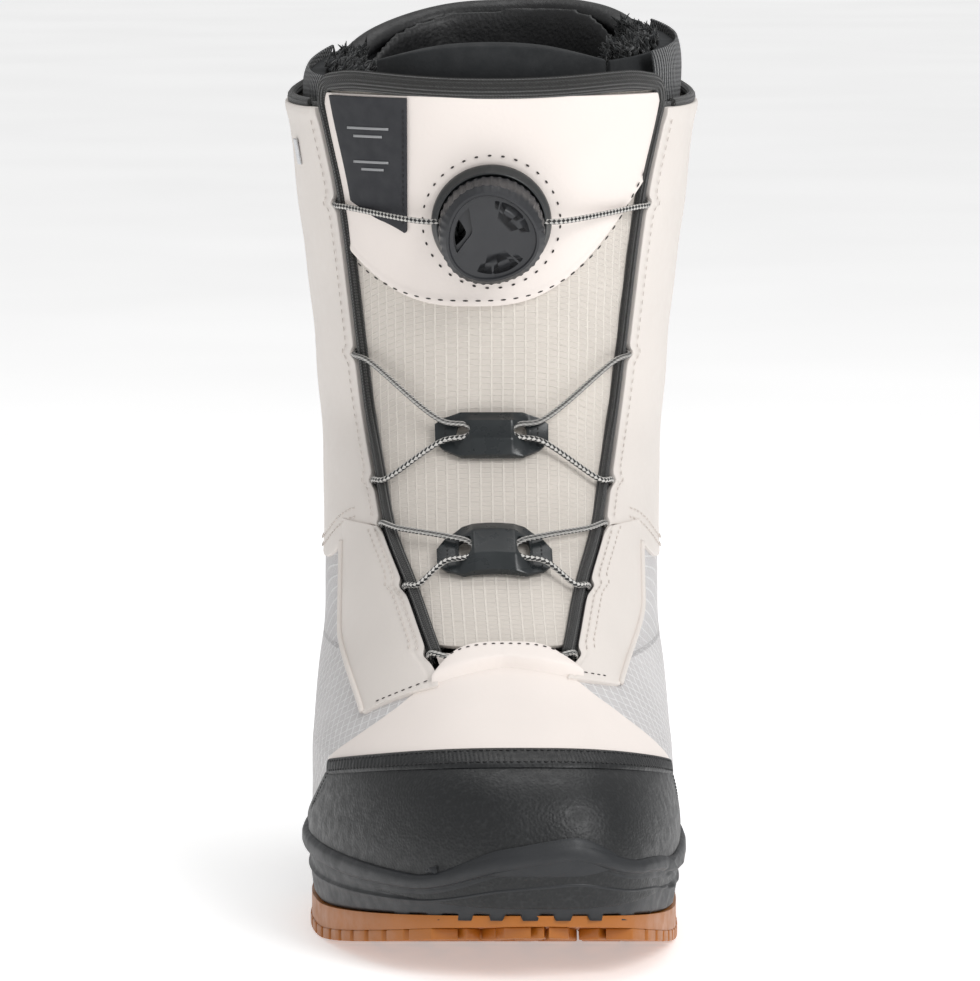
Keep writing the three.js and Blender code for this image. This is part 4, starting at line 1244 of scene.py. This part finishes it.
def guide_body(height, arch):
    tall = 7.4 - 0.9 * arch

    def place(u, v, w):
        side = 2 * u - 1
        reach = np.abs(side)
        half = tall - 1.9 * np.clip((reach - 0.55) / 0.27, 0, 1) - 2.4 * np.clip((reach - 0.84) / 0.16, 0, 1)
        z = height + arch * 2.6 * (1 - side**2) + (2 * v - 1) * half
        face = np.clip((1 - np.abs(2 * v - 1)) / 0.5, 0, 1)
        top = 2.3 + np.clip((0.66 - reach) / 0.3, 0, 1) * (1.3 + 2.6 * face)
        return at_x(throat(z)[1] + side * GUIDE_HALF, z, mix(1.35, top, w))

    made = block(f"guide_{int(height)}", 72, 32, 2, place)
    for side in (-1, 1):
        def place_window(u, v, w, side=side):
            x = mix(6.8, 11.2, u if side > 0 else 1 - u)
            wide = 2.5 * np.clip(1 - (2 * u - 1) ** 4, 0.02, 1) ** 0.5
            z = height + arch * 2.0 + (2 * v - 1) * wide
            return at_x(throat(z)[1] + side * x, z, mix(-4, 12, w))

        carve(made, block("guide_window", 12, 6, 1, place_window))
    soften(made, 0.4, 2, 40)
    return made


for height, arch, name in ((154.6, 0, "upper"), (118.0, 1, "lower")):
    bar = guide_body(height, arch)
    wear(bar, "tongue", GUIDE_PLASTIC, [f"{name}_lace_guide"])
    for side, word in WORDS:
        z = np.linspace(height - 3.8, height + 3.8, 24)
        seam_row(
            f"{name}_guide_stitches_{word}", z, angle_at(z, throat(z)[1] + side * 14.6), 2.4,
            "tongue", BLACK_THREAD, pitch=1.7, length=1.1, radius=0.25,
        )
print("guides ready")

# %% [markdown]
# ## Lace dial
# Turning the dial winds the lace in, and pulling its knob out lets the lace go. Every piece of it is
# round, so each is a profile spun about the dial's own axis and then leaned onto the tongue, which is
# simpler than modelling it where it stands. The window tools are drawn between two arcs and raised.

# %% Dial helpers
LEAN = math.radians(90 + 14.6)
DIAL_SEAT = at_x(0, 226, 2.4)[0]
DIAL_TILT = Matrix.Translation(Vector(to_frame(DIAL_SEAT))) @ Matrix.Rotation(LEAN, 4, "X")
DIAL_PLACE = DIAL_TILT @ Matrix.Scale(0.001, 4)


def on_dial(form, name):
    """Leans a form that stands on the origin onto the tongue, and makes an object of it."""
    form.transform(DIAL_PLACE)
    bmesh.ops.recalc_face_normals(form, faces=form.faces)
    return as_object(form, name)


def turned(stops, segments=96, ripple=None):
    """A closed profile of radius and height spun about the dial's axis."""
    form = bmesh.new()
    corners = [form.verts.new((r, 0, h)) for r, h in stops]
    edges = [form.edges.new(pair) for pair in zip(corners, corners[1:])]
    if stops[0][0] > 0.01:
        edges.append(form.edges.new((corners[-1], corners[0])))
    bmesh.ops.spin(
        form, geom=[*corners, *edges], cent=(0, 0, 0), axis=(0, 0, 1), angle=math.tau,
        steps=segments, use_merge=True,
    )
    bmesh.ops.remove_doubles(form, verts=form.verts, dist=1e-4)
    if ripple:
        for v in form.verts:
            reach = math.hypot(v.co.x, v.co.y)
            if reach > 1e-3:
                grown = (reach + ripple(math.atan2(v.co.y, v.co.x), reach, v.co.z)) / reach
                v.co.x, v.co.y = v.co.x * grown, v.co.y * grown
    return form


def crescent(form, start, sweep, outer, inner, low, high):
    """A curved window tool between two arcs."""
    turns = [start + sweep * k / 14 for k in range(15)]
    rim = [(outer * math.cos(a), outer * math.sin(a)) for a in turns]
    back = []
    for k, a in enumerate(turns[1:-1][::-1]):
        r = outer - (outer - inner) * math.sin(math.pi * (k + 1) / 14) ** 0.75
        back.append((r * math.cos(a), r * math.sin(a)))
    face = form.faces.new([form.verts.new((x, y, low)) for x, y in rim + back])
    risen = bmesh.ops.extrude_face_region(form, geom=[face])
    lifted = [g for g in risen["geom"] if isinstance(g, bmesh.types.BMVert)]
    bmesh.ops.translate(form, verts=lifted, vec=(0, 0, high - low))
    bmesh.ops.recalc_face_normals(form, faces=form.faces[:])


print("dial stands at", DIAL_SEAT.round(1), "mm")

# %% [markdown]
# ## Dial base and works
# The real dial holds a base that is sewn to the tongue, a cup, a toothed ring, a spool with the lace
# wound on it and a screw. Hidden works could be left out, but some of them show through the windows
# or past the lifted knob. All are turned profiles, and the disc and spring stay as the CAD made them.

# %% Dial base and works
base = on_dial(turned([
    (0, 0.3), (19.2, 0.3), (19.4, 1.2), (19.0, 2.6), (18.2, 3.6), (17.9, 4.9), (17.3, 5.2), (17.1, 4.2),
    (16.4, 2.9), (0, 2.2),
]), "dial_base_ring")
soften(base, 0.25)
wear(base, "tongue", DIAL_DARK, ["dial_base"])
housing = on_dial(turned(
    [(12.8, 2.5), (15.2, 2.5), (15.2, 8.2), (14.7, 9.0), (13.2, 9.0), (12.8, 8.4)],
    ripple=lambda a, r, h: 0.25 if r > 15 and math.cos(a * 18) > 0.3 else 0,
), "dial_housing_cup")
wear(housing, "tongue", DIAL_DARK, ["dial_housing"])
ratchet = on_dial(turned(
    [(11.0, 6.8), (12.4, 6.8), (12.4, 8.8), (11.0, 8.8)], 144,
    lambda a, r, h: -0.7 * ((a * 24 / math.tau) % 1) if r < 11.5 else 0,
), "dial_ratchet_teeth")
wear(ratchet, "tongue", DIAL_DARK, ["dial_ratchet_ring"])
screw = on_dial(turned(
    [(0, 2.6), (1.7, 2.6), (1.7, 11.6), (3.6, 11.6), (3.6, 12.6), (3.1, 13.1), (0, 13.1)], 48
), "dial_screw_head")
soften(screw, 0.12)
wear(screw, "tongue", STEEL, ["dial_screw"])
spool = on_dial(turned([
    (2.2, 2.6), (10.9, 2.6), (10.9, 3.4), (7.4, 3.5), (7.4, 5.3), (10.9, 5.4), (10.9, 6.2), (2.2, 6.2),
], 72), "dial_spool_body")
soften(spool, 0.15)
wear(spool, "dial_drive", DIAL_DARK, ["dial_spool"])
humps = [(9.2 + 0.9 * abs(math.sin(k * math.pi / 6)), 3.75 + k * 0.116) for k in range(13)]
winding = on_dial(turned([(7.7, 3.75), *humps, (7.7, 5.15)], 72), "wound_lace")
wear(winding, "dial_drive", BRAID, ["lace_winding"])
# The drive disc is painted near black, as painted shade in the knob's windows.
carry("dial_drive_disc", DIAL_WORKS_SHADE)
carry("dial_spring", STEEL)
print("dial works", len(base.data.polygons) + len(spool.data.polygons), "faces in base and spool")

# %% [markdown]
# ## Dial knob
# The knob has a ribbed skirt for gloved fingers, a soft three-sided crown and three curved windows
# with a step in each. Ribs and crown could be separate meshes, but a ripple added to the turned
# profile makes both at once. Each window is cut by itself, because cuts that overlap can fail.

# %% Dial knob
knob = on_dial(turned([
    (0, 14.4), (13.2, 14.4), (15.7, 12.4), (15.7, 5.8), (16.2, 5.5), (16.8, 6.0), (16.9, 9.0), (16.7, 13.0),
    (16.6, 15.2), (15.6, 16.6), (14.9, 17.5), (14.1, 17.7), (13.7, 17.0), (12.5, 16.7), (9.0, 16.5),
    (5.5, 16.4), (0, 16.35),
], 240, lambda a, r, h: (0.28 * max(-0.2, math.cos(a * 40)) if 16 < r and h < 15.8 else 0)
    + (0.5 * math.cos(a * 3 + 0.6) if r > 13 and h > 13 else 0)), "dial_knob_cap")
for centre in (168, 48, 288):
    for turn, sweep, outer, inner, low in ((-42, 80, 12.2, 6.4, 15.3), (-16, 44, 11.8, 8.2, 12)):
        tool = bmesh.new()
        crescent(tool, math.radians(centre + turn), math.radians(sweep), outer, inner, low, 19)
        carve(knob, on_dial(tool, "window_tool"))
knob.data.shade_smooth()
knob.data.set_sharp_from_angle(angle=math.radians(28))
soften(knob, 0.22, 2, 40)
wear(knob, "dial_knob", DIAL_PLASTIC, ["dial_knob"])
print("dial ready")

# %% [markdown]
# ## Lace
# The lace leaves the dial on each side, dips under the quarters and turns behind both guides. A
# curve object could draw it, but a tube mesh carries the UVs that its braid needs. It is made as two
# halves.

# %% Lace
CHANNELS = ((229.2, 179.3), (139.4, 126.8), (109.8, 91.6))
OVER, DEEP = 2.9, 5.0


def stop(side, x, z, off):
    return at_x(throat(z)[1][0] + side * x, z, off)[0]


def edge_half(z):
    return float(throat(z)[0][0])


def channel_stops(index, side):
    high, low = CHANNELS[index]
    reach, inset = min(9.5, 3 + (high - low) / 5), min(6, (high - low) / 4)
    return [
        stop(side, edge_half(high) + 3.4, high - 0.4, -DEEP),
        stop(side, edge_half(high - inset) + reach, high - inset, -DEEP),
        stop(side, edge_half(low + inset) + reach, low + inset, -DEEP),
        stop(side, edge_half(low) + 3.4, low + 0.4, -DEEP),
    ]


def through_channel(index, side):
    high, low = CHANNELS[index]
    drop = ((-6, OVER), (-2.2, 2.2), (0.1, -0.8), (0.9, -3.8))
    laid = {z: [stop(side, edge_half(z) + x, z, off) for x, off in drop] for z in (high, low)}
    return [*laid[high], *channel_stops(index, side), *laid[low][::-1][:3]]


def round_guide(height, side):
    rows = ((15, 1.7), (8, 1), (5.9, 0), (8, -1), (15, -1.7))
    return [stop(side, x, height + turn * 2.1, 4.2) for x, turn in rows]


def dial_exit(side, reach):
    y, h = 1.2, 4.1
    cosine, sine = math.cos(LEAN), math.sin(LEAN)
    return DIAL_SEAT + (side * reach, y * cosine - h * sine, y * sine + h * cosine)


def lace_run(side):
    return [
        dial_exit(side, 14.6), dial_exit(side, 22), *through_channel(0, side),
        stop(side, edge_half(178.5) - 7, 178.2, OVER), *round_guide(154.8, side),
        *through_channel(1, side), stop(side, edge_half(125.6) - 7, 125.4, OVER),
        *round_guide(119.4, side), *through_channel(2, side), stop(side, 14, 90.6, 1.7),
        stop(side, 6, 90.4, 1.7),
    ]


lace_length = 0
for side, word in WORDS:
    route = resample(smooth_path(lace_run(side), 10), 0.75)
    lace_length += float(np.linalg.norm(np.diff(route, axis=0), axis=1).sum())
    half = tube(f"lace_{word}", route, oval(0.9, 0.9), 10)
    half.data.materials.append(BRAID)
    if side < 0:
        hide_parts("lace")
    middle = stop(side, edge_half(150), 150, 0)
    inward = middle + np.array([-side * 14, 0, 2.9])
    tuple(to_frame(middle))
    tuple(to_frame(inward))
    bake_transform(half)
print("lace", round(lace_length), "mm shown")

# %% [markdown]
# ## Lace channels and gussets
# A stiff bent pipe under each quarter turns the lace back, and a thin folded gusset joins the tongue
# to the quarter and keeps the snow out.

# %% Lace channels and gussets
for side, word in WORDS:
    for index in range(3):
        held = resample(smooth_path(channel_stops(index, side), 8), 1.0)
        pipe = tube(f"channel_{word}_{index + 1}", held, oval(1.95, 1.95), 14)
        wear(pipe, "shell", CLEAR_PLASTIC, [f"lace_channel_{word}_{index + 1}"])

    def place_gusset(u, v, side=side):
        z = mix(97.5, 252, v)
        half, centre = throat(z)
        fold = 0.9 * np.sin(u * math.pi) * np.sin(v * 40) * 0.4
        return at_x(centre + side * mix(half * 0.82, half + 5.5, u), z, -7.5 + fold)

    gusset = lay(f"gusset_skin_{word}", 14, 110, place_gusset)
    finish_edges(gusset, 0.4, 0)
    gusset.data.materials.append(GUSSET_CLOTH)
    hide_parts(f"gusset_{word}")
    outer, inner = stop(side, edge_half(150) + 4, 150, -7), stop(side, edge_half(150) * 0.85, 150, -7)
    tuple(to_frame(outer))
    tuple(to_frame(inner + (0, 0, 2)))
    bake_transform(gusset)
print("gusset", len(gusset.data.polygons), "faces")

# %% [markdown]
# ## Heel counter and backstay
# The heel counter is dark grained leather over a stiffener, with a backstay above it and a webbing
# loop to pull the boot on. All three could be one strip, but they are cut and sewn apart, and the
# loop has to bow clear of the cuff to take a finger.

# %% Heel counter and backstay
COUNTER_START, COUNTER_END = 104.6, 255.4


def counter_top(u):
    """Height of the counter's top edge, which dips at both ends."""
    return 125.4 - 26 * (1 - np.sin(u * math.pi)) ** 1.5


def place_counter(u, v):
    phi = mix(COUNTER_START, COUNTER_END, u)
    z = mix(26, counter_top(u), v)
    return on_last(z, phi, 0.35 - 0.35 * hump(v, 0.95, 0.02) + 0.5 * hump(v, 0.4, 0.3))


counter = lay("heel_counter_skin", 150, 70, place_counter)
finish_edges(counter, 2.3, 0.45)
wear(counter, "shell", DARK_LEATHER, ["heel_counter"])


def place_heel_cloth(u, v):
    return on_last(mix(90, 125.8, v), mix(104, 256, u), -0.6)


heel_cloth = lay("heel_side_cloth", 120, 20, place_heel_cloth)
finish_edges(heel_cloth, 1.4, 0.3)
wear(heel_cloth, "shell", SIDE_CLOTH)
for side, word in WORDS:
    flank = np.linspace(105.5, 178, 120)
    share = (flank - COUNTER_START) / (COUNTER_END - COUNTER_START)
    rise = counter_top(share) - 2.4
    for number, drop in enumerate((0, 2.8)):
        seam_row(
            f"counter_stitches_{word}_{number}", rise - drop, flank * side, 0.8, "shell", BLACK_THREAD,
            pitch=2.6, length=1.7, radius=0.3,
        )


def place_backstay(u, v):
    swell = 1.1 * np.clip(np.sin(u * math.pi), 0, 1) ** 0.5
    reach = mix(194, 166, u)
    return on_last(mix(112, cuff_top(180) - 1, v), reach, 0.4 + swell)


backstay = lay("backstay_skin", 40, 120, place_backstay)
finish_edges(backstay, 2.4, 0.4)
wear(backstay, "shell", DARK_LEATHER, ["backstay"])
for number, phi in enumerate((168, 192)):
    heights = np.linspace(116, 278, 120)
    seam_row(
        f"backstay_stitches_{number}", heights, np.full(120, phi), 1.3, "shell", BLACK_THREAD,
        pitch=2.8, length=1.8, radius=0.3,
    )


def place_loop(u, v):
    bow = 8.6 * np.sin(v * math.pi) ** 1.2
    p = on_last(mix(236, cuff_top(180) - 3, v), np.full(len(u), 180.0), 2.9 + bow)
    p[:, 0] = mix(7.5, -7.5, u)
    return p


loop = lay("pull_loop_web", 16, 90, place_loop)
finish_edges(loop, 1.5, 0.3)
wear(loop, "shell", PLAIN_WEB, ["pull_loop_rear"])

print("heel counter", len(counter.data.polygons), "faces")

# %% [markdown]
# ## Cuff binding and badge
# A ribbed binding closes the cuff, and a small plain metal plate is set near its edge on the outer
# side. The binding could be a bevel on the quarters, but real binding is a strip of its own, so a
# ribbed tube runs round the rim. The plate carries no mark.

# %% Cuff binding and badge
start = float(throat_angle(262.0, 1, -2.4)[0])
turns = np.linspace(start, 360 - start, 420)
folded = np.where(turns > 180, 360 - turns, turns)
rim, rim_normals = along_last(cuff_top(folded) - 0.2, turns, -1.5)
cuff_web = tube(
    "cuff_binding_web", rim, lambda a, t: ribbed_oval(1.8, 1.5, a), 36, rim_normals
)
wear(cuff_web, "shell", WEBBING, ["cuff_binding"])
badge = lay(
    "side_badge_plate", 14, 24,
    lambda u, v: on_last(mix(241, 249.5, v), mix(-74.6, -71.8, u) - 1.5 * (v - 0.5), 1.5),
)
finish_edges(badge, 0.8, 0.25, 3)
wear(badge, "shell", STEEL, ["side_badge"])
print("cuff binding", len(cuff_web.data.polygons), "faces")

# %% [markdown]
# ## Liner
# The liner is soft foam covered in knit outside and fleece inside. It could be one hollow sock, but
# its shaft stays open at the front, and its own tongue stands in the gap behind the boot's tongue.
# So the shaft and that tongue are two blocks, and knit and footbed are thin skins on top.

# %% Liner shell, tongue and footbed
def liner_top(phi):
    return 272 + 5 * np.sin(np.radians(phi)) + 20 * np.sin(np.radians(np.abs(phi)) / 2) ** 4


def place_shaft(u, v, w):
    reach = mix(38, 322, u)
    z = mix(89, liner_top(signed(reach)) - 1.5, v)
    half, centre = throat(z)
    phi = mix(angle_at(z, centre + half * 0.8), 360 + angle_at(z, centre - half * 0.8), u)
    fill = step(69, 89, np.minimum(phi, 360 - phi))
    pinch = 2.2 * step(0.94, 1, v)
    quilt = 0.5 * np.abs(np.sin(z * 0.2))
    return on_last(z, phi, mix(-15.6 + pinch, mix(-9.7, -5.5, fill) - pinch - quilt * (1 - fill), w))


shaft = block("liner_shaft_knit", 110, 60, 2, place_shaft)
soften(shaft, 1.6, 3, 45)
wear(shaft, "shell", LINER, ["liner_shaft"])


def place_knit(side):
    def place(u, v):
        phi = side * mix(58, 118, u)
        z = mix(252, liner_top(phi) + 0.5, v)
        return on_last(z, phi, -5.1 - 2.2 * v**6)

    return place


for side, word in WORDS:
    knit = lay(f"liner_knit_{word}", 70, 24, place_knit(side))
    finish_edges(knit, 0.8, 0.2)
    wear(knit, "shell", KNIT)


def place_liner_tongue(u, v, w):
    side = 2 * u - 1
    z = mix(97.5, 279.5 - 5 * side * side, v)
    half, centre = throat(z)
    thin = 1.6 * np.abs(side) ** 3 + 1.5 * step(0.95, 1, v)
    return at_x(centre + side * (half * 0.8 - 3.2), z, mix(-15.8 + thin, -7.3 - thin, w))


liner_tongue = block("liner_tongue_foam", 30, 60, 2, place_liner_tongue)
soften(liner_tongue, 1.2, 3, 45)
wear(liner_tongue, "liner_tongue", LINER, ["liner_tongue"])


def place_footbed(u, v):
    phi, share = u * 360, 1 - v
    p = on_last(np.full(len(u), 36.0), phi, -15.9)
    dish = 1.4 * share**4 + 0.3 * np.sin(p[:, 1] * 0.09)
    return np.stack([p[:, 0] * share, p[:, 1] * share, 33.4 + dish], axis=1)


footbed = lay("footbed_top", 96, 24, place_footbed)
merged = bmesh.new()
merged.from_mesh(footbed.data)
bmesh.ops.remove_doubles(merged, verts=merged.verts, dist=1e-6)
if sum(f.normal.z for f in merged.faces) < 0:
    bmesh.ops.reverse_faces(merged, faces=merged.faces)
merged.to_mesh(footbed.data)
merged.free()
finish_edges(footbed, 2.6, 0.5)
wear(footbed, "shell", KNIT, ["footbed"])
carry("liner_foot", LINER)
carry("shank", CLEAR_PLASTIC)
carry("heel_stiffener", CLEAR_PLASTIC)
carry("lasting_board", BOARD)
print("liner shaft", len(shaft.data.polygons), "faces")

# %% [markdown]
# ## Soft pads
# Each pad is a crowned closed form that follows the collar. A smooth cushion could be shaped by
# formula alone, but filled leather stretches unevenly, so the rear pad is blown up with a short cloth
# simulation, and a cap holds every point near its start. The side pads carry tufts of fleece.

# %% Pads
def place_pad(low_angle, high_angle, low, rise, depth):
    """A crowned pad between two angles, from a low height to a rise above the liner."""

    def place(u, v, w):
        phi = mix(low_angle, high_angle, u)
        corner = 12 * (np.abs(2 * u - 1) ** 7)
        z = mix(low, liner_top(signed(phi)) + rise - corner, v)
        crown = np.clip(np.sin(u * math.pi), 0, 1) ** 0.35 * np.clip(np.sin(v * math.pi), 0, 1) ** 0.4
        return on_last(z, phi, -16.9 - (1 - w) * depth * (0.25 + 0.75 * crown))

    return place


def blow_up(piece, cap_mm):
    """A short cloth simulation with pressure, each point kept within a cap of its start."""
    remesh = piece.modifiers.new("even", "REMESH")
    remesh.mode, remesh.voxel_size = "VOXEL", 0.0016
    graph = bpy.context.evaluated_depsgraph_get()
    piece.data = bpy.data.meshes.new_from_object(piece.evaluated_get(graph))
    piece.modifiers.clear()
    count = len(piece.data.vertices)
    before = np.empty(count * 3)
    piece.data.vertices.foreach_get("co", before)
    cloth = piece.modifiers.new("cloth", "CLOTH")
    cloth.settings.use_pressure = True
    cloth.settings.uniform_pressure_force = 1.2
    cloth.settings.effector_weights.gravity = 0
    cloth.settings.quality = 4
    for number in range(1, 11):
        scene.frame_set(number)
    graph = bpy.context.evaluated_depsgraph_get()
    blown = bpy.data.meshes.new_from_object(piece.evaluated_get(graph))
    after = np.empty(count * 3)
    blown.vertices.foreach_get("co", after)
    piece.modifiers.clear()
    scene.frame_set(1)
    move = (after - before).reshape(-1, 3)
    size = np.maximum(np.linalg.norm(move, axis=1), 1e-9)
    kept = before.reshape(-1, 3) + move * np.minimum(1, cap_mm / 1000 / size)[:, None]
    piece.data.vertices.foreach_set("co", kept.ravel())
    piece.data.update()
    return float(size.max() * 1000)


def smooth_over(piece):
    """Smooth shading and one subdivision, for a soft skin."""
    piece.data.shade_smooth()
    smoothing = piece.modifiers.new("smoothing", "SUBSURF")
    smoothing.levels = smoothing.render_levels = 1


spoiler = block("rear_pad", 56, 34, 3, place_pad(121, 239, 229, 0.6, 4.6))
print("rear pad moved up to", round(blow_up(spoiler, 0.9), 2), "mm")
smooth_over(spoiler)
wear(spoiler, "shell", SOFT_LEATHER, ["rear_spoiler_pad"])

turns = np.linspace(112, 248, 260)
drop = 13 * np.abs(2 * (turns - 112) / 136 - 1) ** 7
rim, rim_normals = along_last(liner_top(signed(turns)) - 1.0 - drop, turns, -12.4)
piping = tube("rear_pad_rim", rim, oval(3.4, 4.6), 28, rim_normals)
wear(piping, "shell", SOFT_LEATHER, ["spoiler_piping"])


def fleece_tufts(name, low_angle, high_angle, low, rise, count, seed):
    """Small tapered locks of fleece, leaning at random out of a pad."""
    chance = np.random.default_rng(seed)
    u, v = chance.random(count), chance.random(count) ** 0.5
    phi = mix(low_angle, high_angle, u)
    z = mix(low, liner_top(signed(phi)) + rise, v)
    off = np.where(chance.random(count) < 0.4 * (v > 0.75), -13.5 - 4 * chance.random(count), -20.6)
    roots = on_last(z, phi, off)
    inward = roots - on_last(z, phi, off + 1)
    lean = inward * 0.6 + chance.normal(0, 0.6, (count, 3)) + np.array([0, 0, 1.0]) * (0.2 + v)[:, None]
    whole = bmesh.new()
    for chunk in range(0, count, 250):
        form = bmesh.new()
        for root, way in zip(roots[chunk : chunk + 250], lean[chunk : chunk + 250]):
            long = chance.uniform(2.2, 4.4)
            turned_way = Vector(way).to_track_quat("Z", "Y").to_matrix().to_4x4()
            at = Matrix.Translation(Vector(to_frame(root))) @ turned_way @ Matrix.Scale(0.001, 4)
            at = at @ Matrix.Translation((0, 0, long / 2 - 0.6))
            bmesh.ops.create_cone(
                form, cap_ends=True, segments=5, radius1=0.75, radius2=0.12, depth=long, matrix=at
            )
        part = bpy.data.meshes.new("chunk")
        form.to_mesh(part)
        form.free()
        whole.from_mesh(part)
        bpy.data.meshes.remove(part)
    made = as_object(whole, name)
    return wear(made, "shell", FLEECE)


for word, low_angle, high_angle, seed in (("medial", 50, 118, 3), ("lateral", 242, 310, 5)):
    pad = block(f"fleece_pad_{word}", 44, 26, 2, place_pad(low_angle, high_angle, 233, 0.5, 4.2))
    smooth_over(pad)
    wear(pad, "shell", FLEECE, [f"fleece_collar_{word}"])
    fleece_tufts(f"fleece_tufts_{word}", low_angle + 1, high_angle - 1, 244, 1.2, 1500, seed)
print("liner and pads ready")

# %% [markdown]
# ## Finish
# The floor gets a pale uneven finish that glows a little, because a plain white plane would turn grey
# in the shadow.

# %% Finish
floor_paint = Paint("pale_floor", 0.9)
floor_tone = floor_paint.between(floor_paint.noise(3, 2), 0.3, 0.7)
pale = floor_paint.blend(floor_tone, tone(248, 248, 248), tone(252, 252, 252))
floor.data.materials.append(floor_paint.finish(pale, 0.9, Emission_Color=pale, Emission_Strength=0.4))
